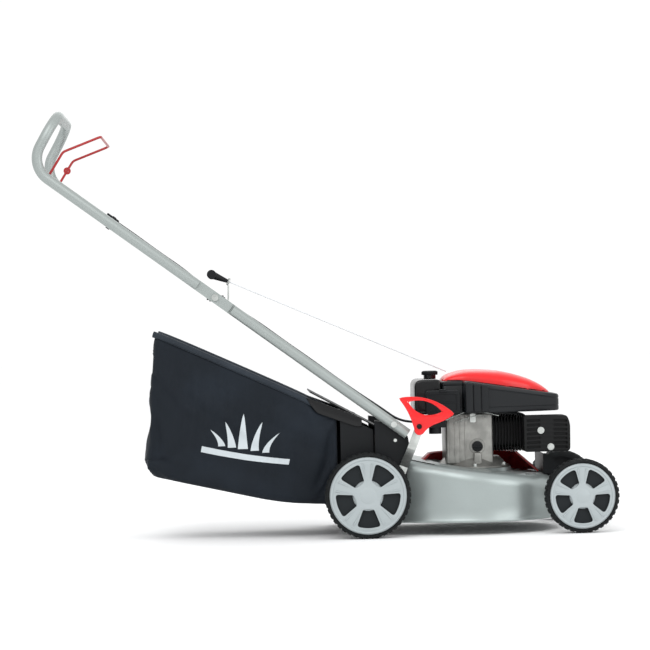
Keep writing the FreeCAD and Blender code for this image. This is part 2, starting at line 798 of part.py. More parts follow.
def upper_handlebar():
    """One steel tube bent into a U, its ends flattened for the fold bolts."""
    points = handlebar_points(float(S.handle_y))
    bend, corner = float(S.handle_bend_radius), float(S.grip_corner_radius)
    radii = [bend, corner, corner, bend]
    outer = sweep(points, radii, S.tube_radius).cut(sweep(points, radii, S.tube_radius - S.tube_wall))
    bores = []
    paddles = []
    centre = vec(FOLD[0], 0, FOLD[1])
    face = float(S.handle_y) + float(S.part_gap)
    for _, sign in SIDES:
        outer_face = face + float(S.paddle_thickness)
        paddles.append(flat_paddle(centre, 180 - float(S.handle_angle), sign, face, outer_face))
        tail = flat_paddle(centre, -float(S.handle_angle), sign, face, face + float(S.paddle_thickness))
        paddles.append(tail.common(Part.makeCylinder(45, 600, centre - Vector(0, 300, 0), Vector(0, 1, 0))))
        bores.append(Part.makeCylinder(float(S.bolt_radius + S.running_clearance), 60,
                                       vec(FOLD[0], 190 * sign - 30, FOLD[1]), Vector(0, 1, 0)))
    pivot_x, pivot_z = BAIL
    pin_hole = Part.makeCylinder(3 + float(S.running_clearance), 2 * float(S.handle_y),
                                 vec(pivot_x, -S.handle_y, pivot_z), Vector(0, 1, 0))
    shape = outer.fuse(paddles).cut(Part.makeCompound(bores + [pin_hole]))
    solid(shape, "upper_handlebar")


BAIL = on_handle(S.upper_straight - 49)


def stop_bail():
    """The red engine-stop bail: a U of wire that hinges in the handlebar's tubes."""
    px, pz = (float(value) for value in BAIL)
    y = float(BAIL_Y)
    knee = Vector(px + 39, -y, pz + 62)
    tip = Vector(px + 129, -y, pz + 96)
    foot = Vector(px, -y, pz)
    peg = Vector(px, -float(S.handle_y) + 3, pz)
    half = [peg, foot, knee, tip]
    points = half + [Vector(point.x, -point.y, point.z) for point in reversed(half)]
    radii = [5, 20, 12, 12, 20, 5]
    wire = sweep(points, radii, S.bail_wire_radius)
    eye = Vector(px + 24, y - 2, pz + 38)
    plate = Part.makeCylinder(9, 4, eye, Vector(0, 1, 0)).cut(Part.makeCylinder(3.5, 4, eye, Vector(0, 1, 0)))
    solid(wire.fuse(plate), "stop_bail")


upper_handlebar()
stop_bail()


def handle_hardware():
    """The two fold bolts, the two deck bolts and the knobs that clamp the fold."""
    bolts = []
    inner = S.handle_y - S.paddle_thickness
    outer = S.handle_y + S.part_gap + S.paddle_thickness
    for _, sign in SIDES:
        head_out = sign < 0
        low, high = (-outer - 5, -inner + 14) if head_out else (inner - 5, outer + 14)
        bolts.append(join([rod(S.bolt_radius, high - low, (FOLD[0], low, FOLD[1]), "y"),
                           rod(8, 5 - S.part_gap, (FOLD[0], low, FOLD[1]), "y")]))
        bolt_x, bolt_z = on_handle(-deck_bolt_distance)
        reach = S.handle_y + S.tube_radius
        start = -reach - 4 if head_out else S.bracket_inner_y
        length = reach + 4 - S.bracket_inner_y
        head_start = -reach - 4 if head_out else reach
        bolts.append(join([rod(S.bolt_radius, length, (bolt_x, start, bolt_z), "y"),
                           rod(7, 4, (bolt_x, head_start, bolt_z), "y")]))
    keep(group(bolts), "handle_bolts")
    knobs = []
    for _, sign in SIDES:
        start = -inner + S.part_gap if sign < 0 else outer + S.part_gap
        knob = join([rod(9, 20, (FOLD[0], start, FOLD[1]), "y"),
                     span_box((FOLD[0] - 20, FOLD[0] + 20), (start + 8, start + 20),
                              (FOLD[1] - 5, FOLD[1] + 5))])
        knobs.append(cut(knob, [rod(S.bolt_radius, 14.5, (FOLD[0], start, FOLD[1]), "y")]))
    keep(group(knobs), "handle_knobs")


handle_hardware()


# %% Cable and starter rope


def cable_point(distance, rise, y=float(S.cable_y)):
    x, z = on_handle(distance, rise)
    return vec(x, y, z)


def brake_cable():
    gap = 9
    upper = [cable_point(312, 12), cable_point(262, 12.5), cable_point(190, 11.5), cable_point(120, 12.5),
             cable_point(72, 10), cable_point(38, 1), cable_point(gap, 0)]
    lower = [cable_point(-gap, 0), cable_point(-38, 1), cable_point(-72, 10), cable_point(-130, 12.5),
             cable_point(-200, 11.5), cable_point(-280, 12.5), cable_point(-360, 11.5),
             cable_point(-430, 12.5),
             cable_point(-490, 15, 170), vec(ahead(98), 158, 262), vec(ahead(150), 136, 256),
             vec(ahead(196), 112, 262), vec(ahead(222), 92, 268), vec(ahead(238), 71, 270)]
    for name, points in (("brake_cable_upper", upper), ("brake_cable_lower", lower)):
        radii = easy_radii(points)
        shape = sweep(points, radii, S.cable_radius)
        check_cord(name, shape, points, radii, S.cable_radius)
        solid(shape, name)


brake_cable()


def cable_adjuster():
    """The black block that holds the cable's upper end on the left tube."""
    low = cable_point(312.2, 12)
    high = cable_point(347, 12)
    along = high - low
    block = Part.makeCylinder(6.5, along.Length, low, along)
    strap = Part.makeCylinder(8, 10, cable_point(322, 12), along)
    tube_low, tube_high = cable_point(300, 0, float(S.handle_y)), cable_point(360, 0, float(S.handle_y))
    tube_line = tube_high - tube_low
    tube = Part.makeCylinder(float(S.tube_radius), tube_line.Length, tube_low, tube_line)
    saddle = Part.makeCylinder(float(S.tube_radius) + 3, 10, cable_point(322, 0, float(S.handle_y)), along)
    solid(block.fuse([strap, saddle]).cut(tube), "cable_adjuster")


cable_adjuster()

GUIDE = vec(ahead(-314), S.guide_y, 614)
ROPE_END = vec(ahead(208), 0, 385)


def starter_pull():
    """The rope from the engine to its guide, the guide on the right tube and the grip in it."""
    rope = ROPE_END - GUIDE
    radius = float(S.rope_radius)
    solid(Part.makeCylinder(radius, rope.Length, GUIDE, rope), "starter_rope")
    along = -rope.normalize()

    ring = Part.makeTorus(7.5, 2, GUIDE + along * 3, along)
    foot = Vector(GUIDE.x - 4, -float(S.handle_y) + float(S.tube_radius) - 1, GUIDE.z - 52)
    neck = GUIDE + along * 3 + Vector(0, 0, -8.5)
    stem = sweep([neck, Vector(GUIDE.x - 4, GUIDE.y, GUIDE.z - 50), foot], [8], 2)
    x, z = on_handle(-55)
    tube_axis = vec(cosine(S.handle_angle), 0, -sine(S.handle_angle))
    tube = Part.makeCylinder(float(S.tube_radius), 120, vec(x, -S.handle_y, z) - tube_axis * 10, tube_axis)
    solid(ring.fuse(stem).cut(tube), "rope_guide")

    nose = GUIDE + along * 6
    stem_end = GUIDE + along * 40
    taper = Part.makeCone(4.5, 9, 34, nose, along)
    middle = stem_end + along * 7
    bar = Part.makeCylinder(11, 50, middle - Vector(0, 25, 0), Vector(0, 1, 0))
    solid(taper.fuse(bar), "starter_grip")


starter_pull()


# %% Engine


def engine_base():
    """The sump casting that seats on the deck."""
    height = S.engine_base_top - S.deck_seat_z
    shell = join([cone(80, 70, height, (ENGINE_X, 0, S.deck_seat_z)),
                  rod(S.deck_seat_radius - 1, 6, (ENGINE_X, 0, S.deck_seat_z))])
    space = rod(60, height, (ENGINE_X, 0, S.deck_seat_z + 6))
    bore = rod(S.shaft_radius + S.running_clearance, 20, (ENGINE_X, 0, S.deck_seat_z - 5))
    keep(cut(shell, [space, bore]), "engine_base")


def crankcase():
    """The upright crankcase with its open cylinder side and the oil filler's hole."""
    half = S.crankcase_half_width
    bottom = S.engine_base_top + 0.1
    front_x, rear_x = ENGINE_X + 47, ENGINE_X - 68
    block = pad("XY", [(rear_x, -half), (front_x, -half), (front_x, half), (rear_x, half)],
                S.crankcase_top - bottom, (0, 0, bottom))
    round_edges(block, 16, runs_along("z"))
    space = rod(46, S.crankcase_top - bottom - 12, (ENGINE_X, 0, bottom + 6))
    bore = rod(S.bore_radius + 0.1, 60, (ENGINE_X, 0, S.cylinder_z), "x")
    shaft = rod(S.shaft_radius + S.running_clearance, 140, (ENGINE_X, 0, bottom - 10))
    filler = rod(8.05, 24, (ENGINE_X + 8, -half, 203), "y")
    ribs = []
    for offset in (-44, -30, -16, 24):
        rib = span_box((ENGINE_X + offset, ENGINE_X + offset + 4), (-half - 5, -half + 1),
                       (bottom + 6, S.crankcase_top - 8))
        ribs.append(rib)
    keep(cut(join([block] + ribs), [space, bore, shaft, filler]), "crankcase")


def finned_block(label, start_x, end_x, bore_depth):
    """A cylinder or head: a core with upright cooling fins."""
    z = S.cylinder_z
    half = S.fin_half_width
    core = rod(S.bore_radius + S.casting_wall, end_x - start_x, (start_x, 0, z), "x")
    pieces = [core]
    count = int(float(end_x - start_x - S.fin_thickness) // float(S.fin_pitch)) + 1
    for index in range(count):
        x = start_x + S.fin_pitch * index
        pieces.append(span_box((x, x + S.fin_thickness), (-half, half), (z - 46, z + 44)))
    bore = rod(S.bore_radius, bore_depth, (start_x, 0, z), "x")
    keep(cut(join(pieces), [bore]), label)


def piston():
    x = ENGINE_X + 62
    z = S.cylinder_z
    crown = rod(S.bore_radius - S.running_clearance, 34, (x, 0, z), "x")
    space = rod(S.bore_radius - 5, 26, (x, 0, z), "x")
    pin = rod(6, S.bore_radius * 2 - 6, (x + 14, -S.bore_radius + 3, z), "y")
    keep(join([cut(crown, [space]), pin]), "piston")


def crankshaft():
    """The upright shaft with one throw, from the blade's adapter to the starter cup."""
    z = S.cylinder_z
    low, high = S.blade_z + S.blade_thickness, 350
    lower = rod(S.shaft_radius, z - 14 - low, (ENGINE_X, 0, low))
    upper = rod(S.shaft_radius, high - (z + 14), (ENGINE_X, 0, z + 14))
    webs = []
    for start in (z - 22, z + 12):
        webs.append(rod(20, 10, (ENGINE_X, 0, start)))
        webs.append(rod(16, 10, (ENGINE_X + 22, 0, start)))
        webs.append(rod(24, 10, (ENGINE_X - 14, 0, start)))
    throw = rod(10, 30, (ENGINE_X + 22, 0, z - 15))
    keep(join([lower, upper, throw] + webs), "crankshaft")


def flywheel():
    """The cast flywheel with fan blades and the starter's cup on top."""
    start = S.crankcase_top + 6
    disc = rod(S.flywheel_radius, 14, (ENGINE_X, 0, start))
    cup = rod(26, 24, (ENGINE_X, 0, start + 14))
    fan = []
    for index in range(12):
        blade = box((0, 0, 0), (20, 3, 26))
        turn = 30 * index
        blade.Placement = FreeCAD.Placement(Vector(), FreeCAD.Rotation(Vector(0, 0, 1), turn))
        blade_x = ENGINE_X + cosine(turn) * (S.flywheel_radius - 21)
        blade_y = sine(turn) * (S.flywheel_radius - 21)
        fan.append(place(blade, blade_x, blade_y, start + 13))
    bore = rod(S.shaft_radius, 60, (ENGINE_X, 0, start))
    keep(cut(join([disc, cup] + fan), [bore]), "flywheel")


def blade():
    """The cutting blade and the adapter that clamps it to the crankshaft."""
    half, width = S.blade_length / 2, S.blade_width / 2
    outline = [(-half, -width), (half - 60, -width), (half, -width + 12), (half, width), (60 - half, width),
               (-half, width - 12)]
    bar = pad("XY", outline, S.blade_thickness, (ENGINE_X, 0, S.blade_z))
    keep(cut(bar, [rod(5, 10, (ENGINE_X, 0, S.blade_z - 1))]), "blade")
    top = S.blade_z + S.blade_thickness
    flange = rod(30, 8, (ENGINE_X, 0, top))
    sleeve = rod(18, 40, (ENGINE_X, 0, top))
    keep(cut(join([flange, sleeve]), [rod(S.shaft_radius, 60, (ENGINE_X, 0, top))]), "blade_adapter")
    head = rod(13, 8, (ENGINE_X, 0, S.blade_z - 8))
    keep(join([head, rod(5, S.blade_thickness, (ENGINE_X, 0, S.blade_z))]), "blade_bolt")


def housing_top(x):
    """Height of the blower housing's top over a place ahead of the rear axle."""
    return 363 - (as_size(x) - 240) * 0.157


def blower_housing():
    """The black shroud over the flywheel and the cylinder."""
    rear_x = S.crank_x - S.flywheel_radius - 4.5
    rear_y = S.flywheel_radius + 14
    plan = [(rear_x, -rear_y), (240, -rear_y), (240, -114), (300, -116), (430, -88), (S.housing_front_x, -62),
            (S.housing_front_x, 62), (430, 88), (300, 116), (240, 114), (rear_x, rear_y)]
    plan = [(ahead(x), y) for x, y in plan]
    rear, front = ahead(150), ahead(S.housing_front_x + 20)

    def form(inset):
        low = S.crankcase_top - (5 if float(inset) > 0 else 0)
        body = pad("XY", inset_outline(plan, inset), 110, (0, 0, low))
        round_edges(body, 12 - inset, runs_along("z"))
        side = pad("XZ", [(rear, 200), (front, 200), (front, housing_top(S.housing_front_x + 20) - inset),
                          (rear, housing_top(150) - inset)], 400, (0, 200, 0))
        return common(body, side)

    hole = rod(46, 120, (ENGINE_X, 0, S.crankcase_top + 30))
    keep(cut(form(as_size(0)), [form(S.housing_wall), hole]), "blower_housing")


def recoil_cover():
    """The red domed cover over the recoil starter."""

    outline = [(ahead(196), housing_top(196) + 0.3), (ahead(455), housing_top(455) + 0.3),
               (ahead(455), housing_top(455) + 6), (ahead(335), 383.5), (ahead(262), 388.5),
               (ahead(196), 378)]
    curves = {2: -430, 3: -620, 4: -330}

    def form(inset):
        half = S.cover_half_width - inset
        return pad("XZ", inset_outline(outline, inset), half * 2, (0, half, 0), curves)

    below = pad("XZ", [(ahead(205), 300), (ahead(440), 300), (ahead(440), housing_top(440) + 4),
                       (ahead(205), housing_top(205) + 4)], 140, (0, 70, 0))
    keep(cut(form(as_size(0)), [form(S.housing_wall), below]), "recoil_cover")


def starter_reel():
    reel = rod(38, 14, (ENGINE_X, 0, 356))
    groove = tube_ring(38, 30, 6, (ENGINE_X, 0, 360), "z")
    keep(cut(reel, [groove]), "starter_reel")


def fuel_system():
    front = ahead(TANK_FRONT)
    rear = front - 65.5
    tank_shape = [(rear, -80), (front, -80), (front, 95), (rear, 95)]
    tank = pad("XY", tank_shape, 85, (0, 0, 283))
    round_edges(tank, 14, runs_along("z"))
    round_edges(tank, 8, lambda edge: edge.BoundBox.ZMin > 84.9)
    neck = rod(15, 8.5, (front - 20, 35, 367.5))
    space = span_box((rear + 4.5, front - 5), (-75, 90), (288, 363))
    filler = rod(12, 30, (front - 20, 35, 350))
    keep(cut(join([tank, neck]), [space, filler]), "fuel_tank")
    cap = rod(20, 10.5, (front - 20, 35, 376.3))
    keep(cap, "fuel_cap")
    outer_y, inner_y = -S.flywheel_radius - 48, -S.flywheel_radius - 16
    filter_plan = [(ahead(149), outer_y), (ahead(232), outer_y), (ahead(232), inner_y),
                   (ahead(149), inner_y)]
    filter_body = pad("XY", filter_plan,
                      58, (0, 0, 284))
    round_edges(filter_body, 6, runs_along("z"))
    hollow = span_box((ahead(153), ahead(228)), (outer_y + 4, inner_y - 4), (288, 338))
    keep(cut(filter_body, [hollow]), "air_filter_box")
    body = span_box((ahead(150), ahead(197)), (-100, -66), (252, 282.7))
    bowl = rod(15, 16, (ahead(172), -83, 237))
    throat = rod(10, 60, (ahead(140), -83, 268), "x")
    keep(cut(join([body, bowl]), [throat]), "carburettor")


def exhaust():
    """The muffler on the cylinder's right side and its slotted guard."""
    muffler_side = [(ahead(389), 193), (ahead(487), 193), (ahead(487), 268), (ahead(389), 268)]
    muffler = pad("XZ", muffler_side, 52, (0, -66, 0))
    round_edges(muffler, 10, runs_along("y"))
    outlet = rod(9, 20, (ahead(475), -92, 240), "x")
    hollow = span_box((ahead(393), ahead(483)), (-114, -70), (197, 264))
    keep(cut(muffler, [outlet, hollow]), "muffler")
    wall = S.guard_wall
    outer = span_box((ahead(382), ahead(494)), (-S.guard_y, -64), (187, 276))
    inner = span_box((ahead(382) + wall, ahead(494) - wall), (wall - S.guard_y, -60),
                     (187 + wall, 276 - wall))
    slots = []
    for row in range(7):
        z = 195 + row * 11
        for low, high in ((389, 412), (434, 487)) if row in (3, 4, 5) else ((389, 428), (450, 487)):
            slots.append(span_box((ahead(low), ahead(high)), (-S.guard_y - 1, wall + 1 - S.guard_y),
                                  (z, z + 5.5)))
    outlet_hole = rod(10, 20, (ahead(480), -92, 240), "x")
    keep(cut(outer, [inner, outlet_hole] + slots), "muffler_guard")


def small_engine_parts():
    half = S.crankcase_half_width
    cap = rod(13, 10, (ENGINE_X + 8, -half - 10.2, 203), "y")
    stem = rod(8, 24, (ENGINE_X + 8, -half - 1, 203), "y")
    keep(join([cap, stem]), "oil_cap")
    plug = join([rod(9, 10, (ahead(S.head_front_x) + 0.3, 0, S.cylinder_z), "x"),
                 rod(5, 32, (ahead(S.head_front_x) + 0.3, 0, S.cylinder_z), "x")])
    keep(plug, "spark_plug")
    bolts = []
    for angle in (-150, -90, -30, 90):
        x = ENGINE_X + cosine(angle) * 85.5
        y = sine(angle) * 85.5
        bolts.append(rod(5, 7, (x, y, S.deck_seat_z + 6)))
    for x, z in ((422.7, 240.3), (445.6, 200.3)):
        bolts.append(rod(5.5, 5, (ahead(x), -S.guard_y - 5.1, z), "y"))
    keep(group(bolts), "engine_bolts")


engine_base()
crankcase()
finned_block("cylinder", ENGINE_X + 47.2, ENGINE_X + 105, 60)
finned_block("cylinder_head", ENGINE_X + 105.2, ENGINE_X + 126, 6)
piston()
crankshaft()
flywheel()
blade()
blower_housing()
recoil_cover()
starter_reel()
fuel_system()
exhaust()
small_engine_parts()


# %% Check and write

doc.recompute()
faults = []
for item in doc.Objects:
    if "Invalid" in item.State or "Error" in item.State:
        faults.append(f"{item.Name} {[user.Label for user in item.InList]}")
for item in PARTS:
    if item.Shape.isNull() or not item.Shape.isValid() or item.Shape.Volume <= 0:
        faults.append(item.Label)
if faults:
    raise RuntimeError(f"failed: {sorted(set(faults))}")
os.makedirs("parts", exist_ok=True)
for item in PARTS:
    item.Shape.exportStep(f"parts/{item.Label}.step")
print(f"{len(PARTS)} sub-parts written")
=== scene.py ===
# %% [markdown]
# A petrol push lawn mower. The engineering model holds every size and every joint, so this
# script only adds what an eye notices: tread and spokes, painted and moulded surfaces, cloth
# that sags, wires and springs. It begins by loading that model, which is never moved.

# %% Load the fixed frame
import math

import bmesh
import bpy
from mathutils import Matrix, Vector, noise
from mathutils.bvhtree import BVHTree


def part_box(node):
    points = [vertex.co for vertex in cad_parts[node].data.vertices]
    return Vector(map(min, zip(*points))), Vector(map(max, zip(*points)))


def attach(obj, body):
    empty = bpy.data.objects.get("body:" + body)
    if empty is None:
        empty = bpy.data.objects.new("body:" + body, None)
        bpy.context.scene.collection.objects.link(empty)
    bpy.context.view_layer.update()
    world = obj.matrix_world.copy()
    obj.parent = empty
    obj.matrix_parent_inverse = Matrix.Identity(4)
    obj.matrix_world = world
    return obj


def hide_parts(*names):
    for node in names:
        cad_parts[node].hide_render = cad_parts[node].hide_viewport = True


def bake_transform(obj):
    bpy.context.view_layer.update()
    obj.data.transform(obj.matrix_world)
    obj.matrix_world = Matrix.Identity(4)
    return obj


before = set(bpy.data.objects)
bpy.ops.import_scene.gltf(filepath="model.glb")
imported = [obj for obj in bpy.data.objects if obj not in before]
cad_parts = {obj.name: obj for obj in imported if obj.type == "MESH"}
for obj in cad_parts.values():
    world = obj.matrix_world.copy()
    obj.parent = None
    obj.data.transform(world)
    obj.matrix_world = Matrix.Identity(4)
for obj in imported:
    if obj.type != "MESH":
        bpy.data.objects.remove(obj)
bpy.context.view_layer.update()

# %% [markdown]
# Everything is placed from a few points that the model gives: the wheels' centres, the deck
# and the crankshaft. A mower's drawings measure from the rear axle, so `at` takes millimetres
# ahead of that axle, left of the middle and above the ground, and gives metres.

# %% Places


def middle(node):
    low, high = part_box(node)
    return (low + high) / 2


REAR = middle("rear_right_tyre")
SHAFT = middle("crankshaft")
SIDES = {"right": -1, "left": 1}


def at(x, y, z):
    """A place in millimetres: ahead of the rear axle, left of the middle, above the ground."""
    return Vector((REAR.x + x / 1000, y / 1000, z / 1000))


def add(thing):
    bpy.context.scene.collection.objects.link(thing)
    return thing


print("rear axle at", REAR, "crankshaft at", SHAFT)

# %% [markdown]
# A long lens from six metres away keeps the far wheels almost behind the near ones. The
# camera is level, looks a little forward of square, and leans one and a half degrees.

# %% Camera
LENS_MM = 142.5
YAW, PITCH, LEAN = 1.67, 0.065, 1.46

camera = bpy.data.objects.new("camera", bpy.data.cameras.new("camera"))
add(camera)
camera.data.lens = LENS_MM
turn = Matrix.Rotation(math.radians(-YAW), 4, "Z")
turn = turn @ Matrix.Rotation(math.radians(90 - PITCH), 4, "X")
turn = turn @ Matrix.Rotation(math.radians(-LEAN), 4, "Z")
camera.matrix_world = Matrix.Translation(at(-267.7, -6275, 512.7)) @ turn
bpy.context.scene.camera = camera

# %% [markdown]
# The light is a white studio cove: a bright sky all round, one large soft lamp high
# on the near side, and a second low one that puts a long highlight on the painted steel.

# %% Studio
PALE = (0.97, 0.975, 0.98, 1)


def area_light(name, place, target, size, power):
    lamp = bpy.data.lights.new(name, "AREA")
    lamp.size, lamp.energy = size, power
    holder = bpy.data.objects.new(name, lamp)
    holder.location = place
    holder.rotation_euler = (target - place).to_track_quat("-Z", "Y").to_euler()
    add(holder)


area_light("key", at(-900, -2600, 2900), at(0, 0, 300), 2.4, 42)
area_light("front", at(1900, -1700, 1300), at(200, 0, 200), 1.6, 15)
area_light("back", at(-300, 2600, 2200), at(0, 0, 400), 2.4, 16)
world = bpy.data.worlds.new("cove")
world.use_nodes = True
world.node_tree.nodes["Background"].inputs["Color"].default_value = (1, 1, 1, 1)
world.node_tree.nodes["Background"].inputs["Strength"].default_value = 1.04
bpy.context.scene.world = world
bpy.context.scene.view_settings.view_transform = "Standard"

floor_mesh = bpy.data.meshes.new("floor")
reach = 30
floor_mesh.from_pydata([(-reach, -reach, 0), (reach, -reach, 0), (reach, reach, 0), (-reach, reach, 0)], [],
                       [(0, 1, 2, 3)])
floor = bpy.data.objects.new("floor", floor_mesh)
add(floor)
floor_paint = bpy.data.materials.new("floor")
floor_paint.use_nodes = True
floor_paint.node_tree.nodes["Principled BSDF"].inputs["Base Color"].default_value = PALE
floor_paint.node_tree.nodes["Principled BSDF"].inputs["Roughness"].default_value = 0.8
floor_mesh.materials.append(floor_paint)

# %% [markdown]
# Materials are easier to read as arithmetic than as a list of linked boxes. `Wire` wraps a
# socket, so that `0.4 + 0.1 * grain` adds the Math nodes, and `Finish` makes any other node
# from its type, its settings and what goes into its sockets.

# %% Shader arithmetic


def sum_node(operation, swapped=False):
    def apply(wire, other):
        first, second = (other, wire) if swapped else (wire, other)
        return wire.finish.node("ShaderNodeMath", {"operation": operation}, {0: first, 1: second})

    return apply


class Wire:
    """A value inside a finish."""

    def __init__(self, finish, socket):
        self.finish = finish
        self.socket = socket

    __add__ = __radd__ = sum_node("ADD")
    __mul__ = __rmul__ = sum_node("MULTIPLY")
    __sub__ = sum_node("SUBTRACT")
    __rsub__ = sum_node("SUBTRACT", swapped=True)


class Finish:
    """A procedural material that reads the object's own coordinates."""

    def __init__(self, name):
        self.material = bpy.data.materials.new(name)
        self.material.use_nodes = True
        self.tree = self.material.node_tree
        self.shader = self.tree.nodes["Principled BSDF"]
        self.place = self.node("ShaderNodeTexCoord", output="Object")

    def feed(self, socket, value):
        if isinstance(value, Wire):
            self.tree.links.new(value.socket, socket)
        else:
            socket.default_value = value

    def node(self, kind, settings=None, values=None, output=0):
        made = self.tree.nodes.new(kind)
        for name, value in (settings or {}).items():
            setattr(made, name, value)
        for name, value in (values or {}).items():
            self.feed(made.inputs[name], value)
        return Wire(self, made.outputs[output])

    def stretched(self, x, y, z):
        return self.node("ShaderNodeMapping", values={"Vector": self.place, "Scale": (x, y, z)})

    def noise(self, scale, detail=3, place=None):
        values = {"Vector": place or self.place, "Scale": scale, "Detail": detail}
        return self.node("ShaderNodeTexNoise", values=values)

    def band(self, low, high, amount):
        """From 0 to 1 as amount goes from low to high."""
        return self.node("ShaderNodeMapRange", values={0: amount, 1: low, 2: high, 3: 0.0, 4: 1.0})

    def mix(self, amount, first, second):
        return self.node("ShaderNodeMix", {"data_type": "RGBA"}, {0: amount, 6: first, 7: second}, output=2)

    def bump(self, height, distance, strength=1.0):
        values = {"Height": height, "Distance": distance, "Strength": strength}
        return self.node("ShaderNodeBump", values=values)

    def surface(self, **values):
        for name, value in values.items():
            self.feed(self.shader.inputs[name.replace("_", " ").title()], value)
        return self.material


def shade(code, bright=1.0):
    """A screen colour such as a9b3b2, as the linear colour that a shader takes."""
    linear = []
    for start in (0, 2, 4):
        value = int(code[start:start + 2], 16) / 255
        linear.append(bright * (value / 12.92 if value <= 0.04045 else ((value + 0.055) / 1.055) ** 2.4))
    return (*linear, 1.0)


# %% [markdown]
# Steel parts of a mower are powder coated. The powder melts into a skin with a faint orange
# peel, and metal flakes in it catch the light, so the coat is half metallic, has a fine bump,
# and its roughness wanders a little.

# %% Coated and bare metal


def powder_coat(name, colour, metallic, rough, peel=0.00003):
    finish = Finish(name)
    cloud = finish.noise(9)
    flake = finish.noise(900, 0)
    colour_wire = finish.mix(cloud, shade(colour, 0.9), shade(colour, 1.1))
    return finish.surface(
        base_color=finish.mix(flake * 0.04, colour_wire,
                              shade("f2f5f5")) if metallic > 0.3 else colour_wire,
        metallic=metallic,
        roughness=rough - 0.06 + 0.12 * finish.noise(60),
        normal=finish.bump(finish.noise(700, 1), peel),
    )


def bare_metal(name, colour, rough, grain=(20, 20, 900), metallic=0.9):
    """Steel or aluminium that was drawn, ground or cast; grain is finest across its lines."""
    finish = Finish(name)
    lines = finish.noise(1.0, 4, finish.stretched(*grain))
    stain = finish.noise(28)
    return finish.surface(
        base_color=finish.mix(finish.band(0.35, 0.7, stain), shade(colour, 0.72), shade(colour, 1.12)),
        metallic=metallic,
        roughness=rough - 0.1 + 0.2 * lines,
        normal=finish.bump(lines, 0.00006),
    )


def casting(name, colour, rough):
    """Sand-blasted aluminium: pitted, dull, brighter where hands and tools rub it."""
    finish = Finish(name)
    pits = finish.noise(900, 2)
    wear = finish.band(0.4, 0.75, finish.noise(35, 5))
    return finish.surface(
        base_color=finish.mix(wear, shade(colour, 0.75), shade(colour, 1.15)),
        metallic=0.75,
        roughness=rough + 0.12 * pits,
        normal=finish.bump(pits, 0.00012),
    )


deck_silver = powder_coat("deck_silver", "99a2a1", 0.6, 0.36)
tube_silver = powder_coat("tube_silver", "979e9c", 0.5, 0.42, 0.000008)
bail_red = powder_coat("bail_red", "9c1a1c", 0.1, 0.35)
zinc = bare_metal("zinc_plate", "c9cdca", 0.3)
shaft_steel = bare_metal("ground_steel", "a9abaa", 0.28)
blade_steel = powder_coat("blade_paint", "25282a", 0.2, 0.45)
cast_alloy = casting("cast_alloy", "9c9c98", 0.36)

# %% [markdown]
# Mouldings differ in gloss. Handles and frames have a spark-eroded texture that hides
# scratches, the tank and shroud are smoother and show the lamps, and the red cover is the
# shiniest. Each has a slow change of tone, as a moulding has round its gates and corners.

# %% Mouldings, rubber and cord


def moulding(name, colour, rough, texture, coat=0.0, shine=0.22):
    finish = Finish(name)
    finish.shader.inputs["Specular IOR Level"].default_value = shine
    flow = finish.noise(14)
    grain = finish.noise(1500, 2)
    finish.shader.inputs["Coat Weight"].default_value = coat
    finish.shader.inputs["Coat Roughness"].default_value = 0.12
    return finish.surface(
        base_color=finish.mix(flow, shade(colour, 0.88), shade(colour, 1.14)),
        roughness=rough - 0.05 + 0.1 * finish.noise(90),
        normal=finish.bump(grain, texture),
    )


def tyre_rubber():
    finish = Finish("tyre_rubber")
    finish.shader.inputs["Specular IOR Level"].default_value = 0.2
    dust = finish.band(0.5, 0.8, finish.noise(40, 6))
    return finish.surface(
        base_color=finish.mix(dust * 0.5, shade("0d1011"), shade("24292b")),
        roughness=0.62 + 0.15 * dust,
        normal=finish.bump(finish.noise(1100, 3), 0.00015),
    )


stove_black = moulding("stove_black", "0b0c0d", 0.5, 0.00003)
black_moulding = moulding("black_moulding", "0d1013", 0.5, 0.00005)
gloss_black = moulding("gloss_black", "08090b", 0.25, 0.00001, 0.2)
shroud_black = moulding("shroud_black", "121518", 0.42, 0.00003, 0.1)
red_gloss = moulding("red_gloss", "d8080e", 0.3, 0.00001, 0.2, 0.4)
dark_red = moulding("dark_red", "8e1416", 0.34, 0.00003, 0.2)
trim_silver = powder_coat("trim_silver", "a3abad", 0.3, 0.45)
cable_black = moulding("cable_black", "141618", 0.38, 0.00002)
rubber = tyre_rubber()

CAD_FINISHES = {
    zinc: ["rear_axle", "front_axle", "height_link", "flap_rod", "handle_bolts", "engine_bolts",
           "blade_adapter",
           "blade_bolt", "rope_guide", "spark_plug", "front_brackets"],
    shaft_steel: ["crankshaft"],
    blade_steel: ["blade"],
    cast_alloy: ["crankcase", "engine_base", "piston", "flywheel"],
    stove_black: ["cylinder", "cylinder_head", "muffler", "muffler_guard"],
    tube_silver: ["lower_handle_right", "lower_handle_left", "upper_handlebar"],
    deck_silver: ["deck_shell"],
    bail_red: ["stop_bail"],
    dark_red: ["deck_trim"],
    red_gloss: ["recoil_cover", "height_lever"],
    gloss_black: ["fuel_tank"],
    shroud_black: ["blower_housing"],
    rubber: [f"{end}_{side}_tyre" for end in ("rear", "front") for side in SIDES],
    trim_silver: [f"{end}_{side}_wheel_trim" for end in ("rear", "front") for side in SIDES],
    cable_black: ["brake_cable_upper", "brake_cable_lower"],
}

finish_of = {node: finish for finish, nodes in CAD_FINISHES.items() for node in nodes}
for node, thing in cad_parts.items():
    paint = finish_of.get(node, black_moulding)
    if thing.material_slots:
        for place in thing.material_slots:
            place.material = paint
    else:
        thing.data.materials.append(paint)

# %% [markdown]
# Most pieces come from four ways of making a shape: a flat plate cut from outlines, a profile
# turned about an axle, a wire along a smooth line and a skin stretched over rings. Each gives
# a closed mesh in the frame's own metres, from sizes in millimetres.


